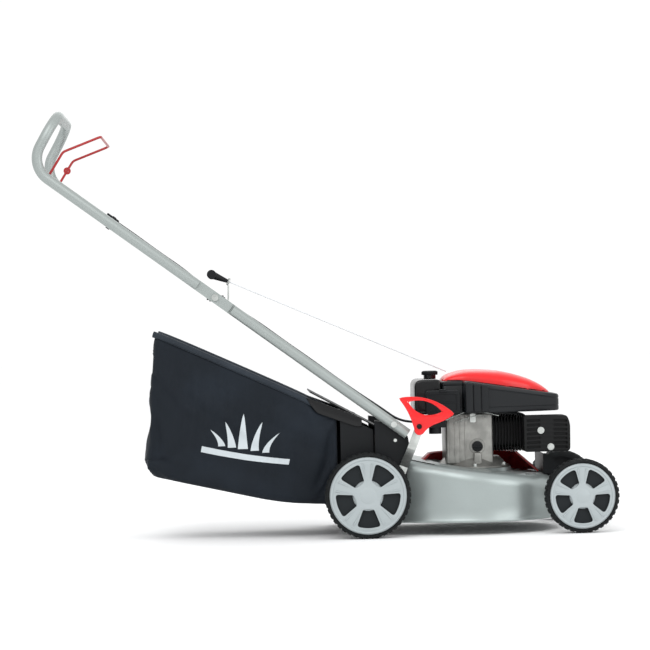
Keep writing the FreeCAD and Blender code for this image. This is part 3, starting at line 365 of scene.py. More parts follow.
def mend(mesh, merge=1e-6):
    """Joins points that lie together and turns every face outwards."""
    work = bmesh.new()
    work.from_mesh(mesh)
    bmesh.ops.remove_doubles(work, verts=work.verts, dist=merge)
    bmesh.ops.recalc_face_normals(work, faces=work.faces)
    work.to_mesh(mesh)
    work.free()
    return mesh


def mesh_of(thing):
    """The finished mesh of an object with its modifiers, which then goes."""
    if thing.name not in bpy.context.scene.collection.objects:
        add(thing)
    graph = bpy.context.evaluated_depsgraph_get()
    mesh = bpy.data.meshes.new_from_object(thing.evaluated_get(graph))
    bpy.data.objects.remove(thing)
    return mesh


def skin(points, faces):
    mesh = bpy.data.meshes.new("skin")
    mesh.from_pydata([tuple(point) for point in points], [], faces)
    return mend(mesh)


def plate(outlines, low, high, round_by=0.6):
    """A flat piece: the first outline is its edge and the others are holes."""
    curve = bpy.data.curves.new("plate", "CURVE")
    curve.dimensions, curve.fill_mode = "2D", "BOTH"
    for outline in outlines:
        spline = curve.splines.new("POLY")
        spline.points.add(len(outline) - 1)
        for point, (across, up) in zip(spline.points, outline):
            point.co = (across / 1000, up / 1000, 0, 1)
        spline.use_cyclic_u = True
    curve.extrude = (high - low) / 2000 - round_by / 1000
    curve.bevel_depth, curve.offset = round_by / 1000, -round_by / 1000
    curve.bevel_resolution = 2
    mesh = mesh_of(bpy.data.objects.new("plate", curve))
    centre = (low + high) / 2000
    for point in mesh.vertices:
        across, up, deep = point.co
        point.co = (REAR.x + across, centre + deep, up)
    return mend(mesh)


def turned(profile, centre, steps=96):
    """A closed profile of (radius, along Y) turned about an axle."""
    points = []
    for step in range(steps):
        angle = 2 * math.pi * step / steps
        for radius, along in profile:
            points.append((centre.x + radius / 1000 * math.cos(angle), centre.y + along / 1000,
                           centre.z + radius / 1000 * math.sin(angle)))
    size = len(profile)
    faces = []
    for step in range(steps):
        here, there = step * size, (step + 1) % steps * size
        for row in range(size):
            after = (row + 1) % size
            faces.append((here + row, here + after, there + after, there + row))
    return skin(points, faces)


def smooth_line(name, points, radius, closed=False, sides=3):
    """A round line along points in metres, as a curve; its radius is in millimetres."""
    curve = bpy.data.curves.new(name, "CURVE")
    curve.dimensions = "3D"
    spline = curve.splines.new("NURBS")
    spline.points.add(len(points) - 1)
    for knot, point in zip(spline.points, points):
        knot.co = (*point, 1)
    spline.order_u = 3
    spline.use_endpoint_u = not closed
    spline.use_cyclic_u = closed
    curve.bevel_depth, curve.bevel_resolution = radius / 1000, sides
    curve.use_fill_caps = True
    return bpy.data.objects.new(name, curve)


def wire(points, radius, closed=False, sides=3):
    """A round wire along one smooth line, as a mesh."""
    line = smooth_line("wire", points, radius, closed, sides)
    line.data.resolution_u = 8
    return mend(mesh_of(line))


def bent(points, radius, corner=8, sides=3):
    """A wire with straight runs and short tight bends, as formed spring wire has."""
    knots = [points[0]]
    for before, point, after in zip(points, points[1:], points[2:]):
        for other in (before, after):
            reach = min(corner / 1000, (other - point).length * 0.45)
            knots.append(point + (other - point).normalized() * reach)
            if other is before:
                knots.append(point)
    knots.append(points[-1])
    return wire(knots, radius, sides=sides)


def stretched_over(rings, caps=(True, True)):
    """A skin over closed rings that all have the same number of points."""
    size = len(rings[0])
    points = [point for ring in rings for point in ring]
    faces = []
    for row in range(len(rings) - 1):
        for step in range(size):
            after = (step + 1) % size
            faces.append((row * size + step, row * size + after, (row + 1) * size + after,
                          (row + 1) * size + step))
    if caps[0]:
        faces.append(tuple(range(size)))
    if caps[1]:
        faces.append(tuple((len(rings) - 1) * size + step for step in range(size)))
    return skin(points, faces)


def joined(*meshes):
    """Several meshes as one, kept as separate shells."""
    work = bmesh.new()
    for mesh in meshes:
        work.from_mesh(mesh)
    whole = bpy.data.meshes.new("joined")
    work.to_mesh(whole)
    work.free()
    return whole


def show(name, mesh, finish, body, stands_for=(), angle=32):
    """Makes a mesh a piece of the mower: its finish, its body and the CAD nodes it stands for."""
    mesh.materials.clear()
    mesh.materials.append(finish)
    mesh.shade_smooth()
    mesh.set_sharp_from_angle(angle=math.radians(angle))
    thing = bpy.data.objects.new(name, mesh)
    add(thing)
    if body:
        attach(thing, body)
    if stands_for:
        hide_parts(*stands_for)
    print(name, len(mesh.polygons), "faces")
    return thing


def arcs(corners, steps=6):
    """An outline of arcs: each corner is (across, up, bulge of the side after it)."""
    outline = []
    for number, (across, up, bulge) in enumerate(corners):
        next_across, next_up, _ = corners[(number + 1) % len(corners)]
        run = (next_across - across, next_up - up)
        length = math.hypot(*run)
        count = steps if bulge else 1
        for step in range(count):
            part = step / count
            lift = 4 * bulge * part * (1 - part) / length
            outline.append((across + run[0] * part + run[1] * lift, up + run[1] * part - run[0] * lift))
    return outline


def rounded(corners, steps=5):
    """An outline with round corners: each corner is (across, up, radius)."""
    outline = []
    for number, (across, up, radius) in enumerate(corners):
        here = Vector((across, up))
        before = Vector(corners[number - 1][:2]) - here
        after = Vector(corners[(number + 1) % len(corners)][:2]) - here
        reach = min(radius, before.length * 0.49, after.length * 0.49)
        start, end = here + before.normalized() * reach, here + after.normalized() * reach
        if reach <= 0:
            outline.append((across, up))
            continue
        for step in range(steps + 1):
            part = step / steps
            point = start * (1 - part) ** 2 + here * 2 * part * (1 - part) + end * part ** 2
            outline.append((point.x, point.y))
    return outline



def oblong(left, right, low, high, radius, steps=5):
    """A rectangle with four equal round corners."""
    return rounded([(left, low, radius), (right, low, radius), (right, high, radius), (left, high, radius)],
                   steps)


# %% [markdown]
# Tread blocks, spokes' ribs, cylinder fins and the ribs of caps and castings all repeat. One
# Geometry Nodes tree makes them: it lays points along a line, sets an item on each and turns it
# a little more every time. With no step between its points the same tree makes a ring.

# %% Repeats


def repeat_tree():
    tree = bpy.data.node_groups.new("repeats", "GeometryNodeTree")
    inputs = {"Geometry": "Geometry", "Item": "Object", "Count": "Int", "Start": "Vector", "Step": "Vector",
              "Turn": "Vector", "Finish": "Material"}
    for name, kind in inputs.items():
        tree.interface.new_socket(name, in_out="INPUT", socket_type=f"NodeSocket{kind}")
    tree.interface.new_socket("Geometry", in_out="OUTPUT", socket_type="NodeSocketGeometry")
    source, end = tree.nodes.new("NodeGroupInput"), tree.nodes.new("NodeGroupOutput")
    line = tree.nodes.new("GeometryNodeMeshLine")
    item = tree.nodes.new("GeometryNodeObjectInfo")
    index = tree.nodes.new("GeometryNodeInputIndex")
    angle = tree.nodes.new("ShaderNodeVectorMath")
    angle.operation = "SCALE"
    rotation = tree.nodes.new("FunctionNodeEulerToRotation")
    instance = tree.nodes.new("GeometryNodeInstanceOnPoints")
    real = tree.nodes.new("GeometryNodeRealizeInstances")
    paint = tree.nodes.new("GeometryNodeSetMaterial")
    for first, out, second, into in (
        (source, "Count", line, "Count"), (source, "Start", line, "Start Location"), (source, "Step", line,
                                                                                      "Offset"),
        (source, "Item", item, "Object"), (source, "Turn", angle, 0), (index, "Index", angle, "Scale"),
        (angle, "Vector", rotation, "Euler"), (rotation, "Rotation", instance, "Rotation"),
        (line, "Mesh", instance, "Points"), (item, "Geometry", instance, "Instance"),
        (instance, "Instances", real, "Geometry"), (real, "Geometry", paint, "Geometry"),
        (source, "Finish", paint, "Material"), (paint, "Geometry", end, "Geometry"),
    ):
        tree.links.new(first.outputs[out], second.inputs[into])
    return tree


REPEATS = repeat_tree()


def repeat(item, count, start, step=(0, 0, 0), turn=(0, 0, 0), finish=None):
    """Copies of a mesh along a line or round a ring, as one mesh."""
    pattern = bpy.data.objects.new("item", item)
    host = bpy.data.objects.new("host", bpy.data.meshes.new("host"))
    add(host)
    modifier = host.modifiers.new("repeats", "NODES")
    modifier.node_group = REPEATS
    values = {"Item": pattern, "Count": count, "Start": start, "Step": step, "Turn": turn, "Finish": finish}
    for socket in REPEATS.interface.items_tree:
        if socket.name in values and values[socket.name] is not None:
            modifier[socket.identifier] = values[socket.name]
    mesh = mesh_of(host)
    bpy.data.objects.remove(pattern)
    return mesh


# %% [markdown]
# A mower's wheel is three mouldings. The tyre is a rubber band with small blocks along its
# shoulders, which give its outline a fine sawtooth. The silver trim has five spokes that
# flare towards the rim, each with two tapered ribs, and the windows show the dark wheel.

# %% Wheels
SPOKES = 5


def tyre(name, body, centre, radius, sign):
    inner = radius - 12
    band = [(inner, -22), (inner + 4, -22), (radius - 4, -21), (radius - 2, -17), (radius - 1.6, -4),
            (radius - 1.6, 4),
            (radius - 2, 17), (radius - 4, 21), (radius - 7, 22), (radius - 9, 22), (radius - 9, 12),
            (inner, 12)]
    band = [(reach, along * sign) for reach, along in band]
    blocks = []
    count = round(radius * 0.42)
    half = math.pi * radius / count * 0.62
    for side in (-1, 1):
        outline = [(radius - 9, 21.6), (radius - 3.5, 20.8), (radius, 16.5), (radius, 5), (radius - 2.4, 5),
                   (radius - 9, 17)]
        low = [Vector((depth / 1000, along * side / 1000, -half / 1000)) for depth, along in outline]
        high = [point + Vector((0, 0, 2 * half / 1000)) for point in low]
        for point in low + high:
            point.z += 0.001 * side
        block = stretched_over([low, high])
        blocks.append(repeat(block, count, centre, turn=(0, 2 * math.pi / count, 0), finish=rubber))
    bead = turned([(radius - 9, sign * 21.2), (radius - 7.6, sign * 22.6), (radius - 6, sign * 21.4),
                   (radius - 7.6, sign * 20)],
                  centre)
    show(f"{name}_tread", joined(turned(band, centre, 120), bead, *blocks), rubber, body, [f"{name}_tyre"])


def window(radius, turn):
    """The opening between two spokes, narrow at the hub and wide at the rim."""
    corners = [(radius * 0.36, -radius * 0.13, 3), (radius * 0.79, -radius * 0.29, 7),
               (radius * 0.845, 0, 24),
               (radius * 0.79, radius * 0.29, 7), (radius * 0.36, radius * 0.13, 3), (radius * 0.33, 0, 6)]
    points = []
    for across, up in rounded(corners):
        flare = 0.03 * radius * math.sin(math.pi * min(1, max(0, (across / radius - 0.3) / 0.55)))
        up += math.copysign(flare, up) if abs(up) > radius * 0.05 else 0
        points.append((across * math.cos(turn) - up * math.sin(turn),
                       across * math.sin(turn) + up * math.cos(turn)))
    return points


def circle(radius, steps=72):
    return [(radius * math.cos(2 * math.pi * step / steps), radius * math.sin(2 * math.pi * step / steps))
            for step in range(steps)]


def trim(name, body, centre, radius, sign):
    face = abs(centre.y) * 1000 + 19
    across, up = (centre.x - REAR.x) * 1000, centre.z * 1000
    low, high = sorted((sign * (face - 3.2), sign * face))
    holes = [window(radius, math.radians(-90 + 72 * number)) for number in range(SPOKES)]
    outlines = [[(across + x, up + z) for x, z in outline] for outline in [circle(radius - 1)] + holes]
    disc = plate(outlines, low, high, 0.7)
    offset = sign * 19
    lip = turned([(radius - 8.5, offset), (radius - 7, offset + sign * 1.6),
                  (radius - 3.5, offset + sign * 2.2),
                  (radius - 0.4, offset + sign * 0.6), (radius - 0.4, offset - sign * 6),
                  (radius - 8.5, offset - sign * 3)],
                 centre)
    cap = turned([(0.01, offset), (0.01, offset + sign * 1.5), (radius * 0.17, offset + sign * 1.1),
                  (radius * 0.215, offset), (radius * 0.215, offset - sign * 2)], centre)
    rib_low = []
    rib_high = []
    for reach, half, rise in ((0.44, 0.8, 0.4), (0.84, 3.2, 2.2), (0.84, 3.2, 2.2), (0.44, 0.8, 0.4)):
        edge = half if len(rib_low) < 2 else -half
        rib_low.append(Vector((reach * radius, -sign * 1.0, edge)) / 1000)
        rib_high.append(Vector((reach * radius, sign * rise, edge * 0.5)) / 1000)
    ribs = []
    for lean in (-8.5, 8.5):
        spin = Matrix.Rotation(math.radians(lean), 4, "Y")
        rib = stretched_over([[spin @ point for point in rib_low], [spin @ point for point in rib_high]])
        first = Matrix.Rotation(math.radians(-90), 4, "Y")
        rib.transform(first)
        start = centre + Vector((0, offset / 1000, 0))
        ribs.append(repeat(rib, SPOKES, start, turn=(0, 2 * math.pi / SPOKES, 0), finish=trim_silver))
    show(f"{name}_spokes", joined(disc, lip, cap, *ribs), trim_silver, body, [f"{name}_wheel_trim"])
    dish = turned([(radius * 0.2, offset - sign * 12), (radius * 0.2, offset - sign * 10),
                   (radius - 1, offset - sign * 8), (radius - 1, offset - sign * 10)], centre)
    hub = turned([(0.01, offset - sign * 12), (0.01, offset - sign * 4.5),
                  (radius * 0.38, offset - sign * 5.5),
                  (radius * 0.41, offset - sign * 12)], centre)
    show(f"{name}_dish", dish, wheel_grey, body)
    show(f"{name}_hub", hub, trim_silver, body)


wheel_grey = moulding("wheel_grey", "171c1f", 0.55, 0.00004)
for end in ("rear", "front"):
    for side, sign in SIDES.items():
        name, body = f"{end}_{side}", f"{end}_{side}_wheel"
        centre = middle(f"{name}_tyre")
        low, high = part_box(f"{name}_tyre")
        radius = (high.z - low.z) * 500
        tyre(name, body, centre, radius, sign)
        trim(name, body, centre, radius - 10, sign)

# %% [markdown]
# The deck is one steel pressing: a skirt, a broad rounded shoulder and a top that falls away
# to the front. Its plan is a circle with a squared tail. A ring of points follows that plan,
# and each ring further in is lifted along the shoulder, so the highlight runs without a break.

# %% Deck
DECK_RADIUS, TAIL_ANGLE, TAIL_REACH = 212.0, 112.0, 194.0
SHOULDER, SEAT_RADIUS, SEAT_HEIGHT = 30.0, 92.0, 149.0


def deck_reach(angle, inset):
    """How far the deck's plan reaches from the crankshaft at an angle from straight ahead."""
    turn_away = abs(math.degrees(angle))
    if turn_away <= TAIL_ANGLE:
        return DECK_RADIUS - inset
    side = (DECK_RADIUS - inset) / math.cos(math.radians(turn_away - TAIL_ANGLE))
    tail = (TAIL_REACH - inset) / max(0.05, math.cos(math.radians(180 - turn_away)))
    blend = 26
    return (side ** -blend + tail ** -blend) ** (-1 / blend)


def deck_top(x):
    """The height of the pressing's top, a long hollow arc that falls to the front."""
    part = (x - 40) / 450
    return 196 + (131 - 196) * part - 4 * 12.0 * part * (1 - part)


def deck_ring(inset, height=None, steps=180):
    ring = []
    for step in range(steps):
        angle = -math.pi + 2 * math.pi * step / steps
        reach = deck_reach(angle, inset)
        x, y = 266 + reach * math.cos(angle), reach * math.sin(angle)
        z = height if height is not None else deck_top(x)
        if height is None and inset < SHOULDER:
            z -= SHOULDER - math.sqrt(SHOULDER ** 2 - (SHOULDER - inset) ** 2)
        ring.append(at(x, y, z))
    return ring


def seat_ring(radius, height=None, steps=180):
    ring = []
    for step in range(steps):
        angle = -math.pi + 2 * math.pi * step / steps
        x, y = 266 + radius * math.cos(angle), radius * math.sin(angle)
        ring.append(at(x, y, height if height is not None else deck_top(x)))
    return ring


def blended(first, second, part):
    return [one.lerp(two, part) for one, two in zip(first, second)]


shoulder_rings = [deck_ring(SHOULDER * (1 - math.cos(math.radians(angle)))) for angle in range(0, 91, 9)]
step_rings = [deck_ring(-1.2, 30), deck_ring(-2.4, 31.5), deck_ring(-2.6, 34), deck_ring(-1.4, 37),
              deck_ring(0, 39),
              deck_ring(0, 70), deck_ring(0, 74.5), deck_ring(0, 100)]
inner_rings = [blended(shoulder_rings[-1], seat_ring(SEAT_RADIUS + 6), part) for part in (0.2, 0.4, 0.6,
                                                                                          0.8, 1.0)]
seat_rings = [seat_ring(SEAT_RADIUS + 2, SEAT_HEIGHT + 1), seat_ring(SEAT_RADIUS, SEAT_HEIGHT),
              seat_ring(31, SEAT_HEIGHT)]
for ring in step_rings[5:8]:
    for number, point in enumerate(ring):
        point.z = min(point.z, shoulder_rings[0][number].z - 0.002)
deck_mesh = stretched_over(step_rings + shoulder_rings + inner_rings + seat_rings, caps=(False, False))


def behind(face_centre):
    """True inside the opening that the clippings leave through."""
    x, y, z = (face_centre.x - REAR.x) * 1000, face_centre.y * 1000, face_centre.z * 1000
    return x < 76 and abs(y) < 121 and 104 < z < 170


work = bmesh.new()
work.from_mesh(deck_mesh)
bmesh.ops.delete(work, geom=[face for face in work.faces if behind(face.calc_center_median())],
                 context="FACES")
bmesh.ops.recalc_face_normals(work, faces=work.faces)
if sum(face.normal.z for face in work.faces if face.calc_center_median().z > 0.13) < 0:
    bmesh.ops.reverse_faces(work, faces=work.faces)
work.to_mesh(deck_mesh)
work.free()
deck_host = bpy.data.objects.new("deck", deck_mesh)
solid = deck_host.modifiers.new("wall", "SOLIDIFY")
solid.thickness, solid.offset = 0.0018, -1
deck_mesh = mesh_of(deck_host)
show("deck_pressing", deck_mesh, deck_silver, "chassis", ["deck_shell"], 40)


def deck_groove_shade_line(start, end, inset, rise, radius=1.1):
    """A black line painted as the shade in a shut line pressed into the deck, along its plan between two
    angles.
    """
    points = []
    for step in range(13):
        angle = math.radians(start + (end - start) * step / 12)
        reach = deck_reach(angle, inset)
        x = 266 + reach * math.cos(angle)
        drop = SHOULDER - math.sqrt(max(0.0,
                                        SHOULDER ** 2 - (SHOULDER - inset) ** 2)) if inset < SHOULDER else 0
        points.append(at(x, reach * math.sin(angle), deck_top(x) - drop + rise))
    return wire(points, radius)


# The shut lines are black wires on the silver deck: painted shade in its pressed grooves.
groove_shade_lines = joined(deck_groove_shade_line(-146, -122, 20, 0.2), deck_groove_shade_line(-52, -40, 26, 0.2))
show("deck_shut_lines", groove_shade_lines, stove_black, "chassis")

# %% [markdown]
# The bag is woven polyester over a wire frame. Its top edges and mouth are held, and the rest
# hangs slack, so it is made as a closed form a little small, remeshed evenly, and given to
# Cloth with those edges pinned, a little air inside and some spare length, which is what
# makes real panels buckle in slanting folds. The result is applied, capped and thickened.

# %% Bag cloth


def woven(name, colour, thread):
    finish = Finish(name)
    warp = finish.node("ShaderNodeTexWave", {"bands_direction": "X"}, {"Vector": finish.place,
                                                                       "Scale": thread})
    weft = finish.node("ShaderNodeTexWave", {"bands_direction": "Z"}, {"Vector": finish.place,
                                                                       "Scale": thread})
    dust = finish.band(0.45, 0.75, finish.noise(7, 5))
    slub = finish.noise(220, 3)
    finish.shader.inputs["Specular IOR Level"].default_value = 0.15
    finish.shader.inputs["Sheen Weight"].default_value = 0.06
    finish.shader.inputs["Sheen Roughness"].default_value = 0.4
    return finish.surface(
        base_color=finish.mix(dust * 0.6 + slub * 0.25, shade(colour, 0.85), shade(colour, 1.75)),
        roughness=0.5 + 0.2 * slub,
        normal=finish.bump(warp * weft + slub * 0.6, 0.0002),
    )


bag_cloth = woven("bag_cloth", "161c23", 340)
bag_hem = woven("bag_hem", "2a3037", 340)
pale_print = powder_coat("pale_print", "bcc4c8", 0.0, 0.7)

BAG_OUTLINE = [(-64, 89, 2), (-64, 289, 4), (-139, 329, 30), (-497, 495, 16), (-521, 172, 8),
               (-330, 126, 60),
               (-207, 97, 60)]
BAG_HALF, VOXEL, CAP = 164.0, 0.0065, 0.013
MOUTH_X = -72
TOP_FRONT, TOP_REAR, LOW_REAR = (-139, 329), (-497, 495), (-521, 172)
TOP_SLOPE = 0.464
FRAMES = 24


def near_line(point, start, end, gap):
    """True if a point in XZ millimetres lies within gap of a line's stretch."""
    run = Vector(end) - Vector(start)
    part = max(0, min(1, (Vector(point) - Vector(start)).dot(run) / run.length_squared))
    return (Vector(point) - Vector(start) - run * part).length < gap


def held(point):
    x, y, z = (point.x - REAR.x) * 1000, abs(point.y) * 1000, point.z * 1000
    on_top_edge = y > BAG_HALF - 12 and near_line((x, z), TOP_FRONT, TOP_REAR, 11)
    on_corner = y > BAG_HALF - 16 and near_line((x, z), TOP_REAR, LOW_REAR, 5)
    return x > MOUTH_X or on_top_edge or on_corner and (z > 440 or z < 200)


bag_host = bpy.data.objects.new("bag", plate([rounded(BAG_OUTLINE)], -BAG_HALF, BAG_HALF, 13))
add(bag_host)
remesh = bag_host.modifiers.new("even", "REMESH")
remesh.mode, remesh.voxel_size = "VOXEL", VOXEL
bag_mesh = mesh_of(bag_host)
rest = [point.co.copy() for point in bag_mesh.vertices]
print("bag", len(rest), "points")
bag_host = bpy.data.objects.new("bag", bag_mesh)
add(bag_host)
pins = bag_host.vertex_groups.new(name="held")
pins.add([number for number, point in enumerate(rest) if held(point)], 1.0, "REPLACE")
cloth = bag_host.modifiers.new("cloth", "CLOTH")
settings = cloth.settings
settings.quality, settings.mass, settings.air_damping = 5, 0.35, 2.0
settings.tension_stiffness = settings.compression_stiffness = 18
settings.shear_stiffness, settings.bending_stiffness = 3, 0.12
settings.use_pressure, settings.uniform_pressure_force = True, 0.6
settings.vertex_group_mass = "held"
settings.shrink_min = -0.05
settings.effector_weights.gravity = 0.8
cloth.point_cache.frame_end = FRAMES
for step in range(1, FRAMES + 1):
    bpy.context.scene.frame_set(step)
bag_mesh = mesh_of(bag_host)
bpy.context.scene.frame_set(1)
sag = max((point.co - start).length for point, start in zip(bag_mesh.vertices, rest))
print("cloth moved by up to", round(sag * 1000, 1), "mm")


def crease(start):
    """How far the slack panels stand in or out: broad folds that fan from the top rear corner."""
    x, y, z = (start.x - REAR.x) * 1000, start.y * 1000, start.z * 1000
    away = Vector((x, z)) - Vector(TOP_REAR)
    turn = math.atan2(-away.y, away.x + 60)
    fan = noise.noise(Vector((turn * 7.5, away.length / 190, y / 400)))
    fine = noise.noise(Vector((turn * 17, away.length / 110, 3 + y / 400)))
    fade = min(1.0, max(0.0, (-78 - x) / 60)) * min(1.0, away.length / 70)
    slack = min(1.0, max(0.0, (z - 90) / 25)) * min(1.0,
                                                    max(0.0, (TOP_REAR[1] - TOP_SLOPE * away.x - z) / 40))
    return (9.5 * fan + 5.0 * (0.3 - abs(fine))) * fade * slack / 1000


for point, start in zip(bag_mesh.vertices, rest):
    if abs(start.y) * 1000 > BAG_HALF - 9:
        point.co.y += math.copysign(crease(start), start.y)
    elif (start.x - REAR.x) * 1000 < -485:
        point.co.x += crease(start) * 0.8
    move = point.co - start
    if move.length > CAP:
        point.co = start + move.normalized() * CAP
work = bmesh.new()
work.from_mesh(bag_mesh)
mouth = at(-67, 0, 0).x
bmesh.ops.smooth_vert(work, verts=work.verts, factor=0.4, use_axis_x=True, use_axis_y=True, use_axis_z=True)
bmesh.ops.delete(work, geom=[face for face in work.faces if face.calc_center_median().x > mouth],
                 context="FACES")
work.to_mesh(bag_mesh)
work.free()

# %% [markdown]
# A small print of grass blades sits on each side of the bag. Its outline is drawn flat, cut
# into small triangles, and every point is dropped on to the cloth, so it folds with it.

# %% Print on the bag
bag_tree = BVHTree.FromPolygons([point.co for point in bag_mesh.vertices],
                                [tuple(face.vertices) for face in bag_mesh.polygons])


def grass_blade(x, z, height, lean, width):
    left, right = [], []
    for step in range(9):
        part = step / 8
        centre = x + lean * part ** 1.7
        half = width * (1 - part) ** 0.7 / 2
        left.append((centre - half, z + height * part))
        right.append((centre + half, z + height * part))
    return right + left[-2::-1]


PRINT_BLADES = [(-342, 224, 40, -26, 17), (-318, 220, 62, -14, 20), (-292, 216, 84, 4, 24),
                (-264, 211, 68, 20, 20),
                (-238, 206, 46, 34, 17)]
print_shapes = [[grass_blade(*blade)] for blade in PRINT_BLADES]
print_shapes.append([arcs([(-392, 212, 4), (-184, 176, 0), (-181, 189, -4), (-389, 226, 0)], 10)])
for side, sign in SIDES.items():
    patches = []
    for outlines in print_shapes:
        patch = plate(outlines, 0, 1, 0.0)
        work = bmesh.new()
        work.from_mesh(patch)
        bmesh.ops.delete(work, geom=[face for face in work.faces if face.normal.y < 0.5], context="FACES")
        bmesh.ops.triangulate(work, faces=work.faces)
        for _ in range(5):
            long_edges = [edge for edge in work.edges if edge.calc_length() > 0.006]
            bmesh.ops.subdivide_edges(work, edges=long_edges, cuts=1, use_grid_fill=False)
            bmesh.ops.triangulate(work, faces=work.faces)
        for point in work.verts:
            start = Vector((point.co.x, sign * 0.4, point.co.z))
            hit, _, _, _ = bag_tree.ray_cast(start, Vector((0, -sign, 0)))
            point.co = hit + Vector((0, sign * 0.0007, 0)) if hit else start
        work.to_mesh(patch)
        work.free()
        patches.append(patch)
    show(f"bag_print_{side}", joined(*patches), pale_print, "catcher")

bag_host = bpy.data.objects.new("bag", bag_mesh)
solid = bag_host.modifiers.new("cloth", "SOLIDIFY")
solid.thickness, solid.offset = 0.0012, -1
show("bag_fabric_shell", mesh_of(bag_host), bag_cloth, "catcher", ["catcher_bag"], 180)
for side, sign in SIDES.items():
    edge = sign * 160
    roll = wire([at(-72, edge, 293), at(-136, edge, 327), at(-200, edge, 358), at(-330, edge, 419),
                 at(-480, edge, 488),
                 at(-498, edge * 0.985, 494)], 7.5, sides=4)
    clasp = [(-139, 335, 3), (-130, 318, 4), (-114, 297, 6), (-22, 262, 6), (-8, 262, 3), (-8, 283, 6),
             (-62, 305, 8)]
    low, high = sorted((sign * 163.0, sign * 169.6))
    show(f"bag_clasp_{side}", plate([rounded(clasp)], low, high, 1.6), gloss_black, "catcher")
    show(f"bag_edges_{side}", roll, bag_hem, "catcher")

# %% [markdown]
# The cutting height is set with a red pressed lever on the rear axle. It is a curved blade
# with a long eye for the fingers, and its edges are turned up into a bead that keeps it stiff.

# %% Height lever
LEVER_FACE = -220.3
LEVER_EDGE = arcs([(79, 329, -4), (112, 264, -0.7), (115, 249, 5), (133, 245, -2.5), (160, 266, 2.2),
                   (208, 289, 16)], 12)
LEVER_EYE = arcs([(98, 320, 20), (182, 294, 14.3)], 16)


def edge_bead(outline, along, radius):
    return wire([at(x, along, z) for x, z in outline[::2]], radius, closed=True)


lever = joined(plate([LEVER_EDGE, LEVER_EYE], LEVER_FACE + 0.4, -212.6, 1.2),
               edge_bead(LEVER_EDGE, LEVER_FACE + 1, 1.5), edge_bead(LEVER_EYE, LEVER_FACE + 1, 1.3))
show("height_lever_blade", lever, red_gloss, "rear_axle", ["height_lever"])
lever_bolt = turned([(0.01, -222.6), (5.5, -222.4), (6.2, -221), (6.2, -219), (0.01, -219)],
                    at(125, 0, 261), 24)
show("height_lever_bolt", lever_bolt, stove_black, "rear_axle")

# %% [markdown]
# The engine wears a black shroud with a red cover on top. The cover is a long shell that
# rises from a faceted nose, crowns above the recoil starter and falls to a point in front.

# %% Engine covers


def cover_base(x):
    return min(363.0, 363 - (x - 240) * 0.157)


def between(x, stations):
    """The value at x on a smooth run through (x, value) stations."""
    for (x0, v0), (x1, v1) in zip(stations, stations[1:]):
        if x <= x1:
            part = max(0.0, (x - x0) / (x1 - x0))
            return v0 + (v1 - v0) * part
    return stations[-1][1]


CREST = [(196, 367), (203, 375), (214, 380), (232, 385), (250, 388), (270, 388.6), (300, 387.4),
         (335, 383.5),
         (372, 375), (407, 363), (432, 350), (449, 338), (457, 330.5)]
COVER_HALF = [(196, 58), (203, 66), (214, 71), (240, 77), (300, 78), (350, 76), (400, 66), (432, 46),
              (449, 26), (457, 9)]


def cover_ring(x, shrink=0.0, lift=0.0):
    ring = []
    half, base = between(x, COVER_HALF) - shrink, cover_base(x)
    height = max(1.0, between(x, CREST) - base) + lift
    for step in range(33):
        angle = math.pi * step / 32
        across = half * math.copysign(abs(math.cos(angle)) ** 0.62, math.cos(angle))
        ring.append(at(x, across, base + height * math.sin(angle) ** 0.72))
    ring.append(at(x, -half + 2, base - 1.5))
    ring.append(at(x, half - 2, base - 1.5))
    return ring


cover_places = [196, 198, 201, 205, 210, 216, 224, 234, 246, 260, 276, 294, 312, 330, 348, 366, 384, 400,
                414, 426, 436,
                444, 450, 454, 457]
cover = stretched_over([cover_ring(x) for x in cover_places])
# A black wire along each lower edge of the red cover: painted shade in the gap where it meets the shroud.
gap_shade_line = wire([at(x, -between(x, COVER_HALF) - 0.4, cover_base(x) + 1.2) for x in cover_places[3:-2:2]], 0.9)
show("recoil_cover_shell", cover, red_gloss, "chassis", ["recoil_cover"], 50)
other_gap_shade_line = gap_shade_line.copy()
other_gap_shade_line.transform(Matrix.Scale(-1, 4, (0, 1, 0)))
show("recoil_cover_seam", joined(gap_shade_line, mend(other_gap_shade_line)), stove_black, "chassis")

SHROUD_PLAN = [(191.5, 84, 8), (240, 84, 3), (243, 114, 8), (300, 116, 20), (430, 88, 30), (476, 62, 14),
               (476, -62, 14),
               (430, -88, 30), (300, -116, 20), (243, -114, 8), (240, -84, 3), (191.5, -84, 8)]
SHROUD_EDGE = rounded(SHROUD_PLAN, 6)


def shroud_ring(inset, height=None, below_top=0.0):
    ring = []
    for x, y in SHROUD_EDGE:
        shrink_x, shrink_y = 1 - inset / 142, 1 - inset / 110
        place_x = 333 + (x - 333) * shrink_x
        z = height if height is not None else cover_base(x) - below_top
        ring.append(at(place_x, y * shrink_y, z))
    return ring


shroud = stretched_over([
    shroud_ring(4, 285), shroud_ring(1, 286), shroud_ring(0, 289), shroud_ring(0, 296),
    shroud_ring(0.8, 297),
    shroud_ring(0.8, 298.2), shroud_ring(0, 299), shroud_ring(0, None, 13), shroud_ring(0.8, None, 12),
    shroud_ring(0.8, None, 11), shroud_ring(0, None, 10), shroud_ring(0, None, 6), shroud_ring(1.2, None,
                                                                                               2.5),
    shroud_ring(4, None, 0.6), shroud_ring(9, None, 0)])
ribs = []
for side, sign in SIDES.items():
    for number, x in enumerate((245, 264, 283)):
        low, high = sorted((sign * 110.0, sign * (120.5 - 1.2 * number)))
        panel = [(x, 288, 2), (x + 17.2, 288, 2), (x + 17.2, cover_base(x + 17) - 3, 4),
                 (x, cover_base(x) - 3, 4)]
        ribs.append(plate([rounded(panel)], low, high, 1.8))
show("blower_shroud", joined(shroud, *ribs), shroud_black, "chassis", ["blower_housing"], 35)

# %% [markdown]
# The tank is a blow-moulded block with broad corners, a neck and a gripped cap. Beside it the
# filter box clips shut over a paper element, and its lid carries a raised frame.

# %% Tank, cap and filter box


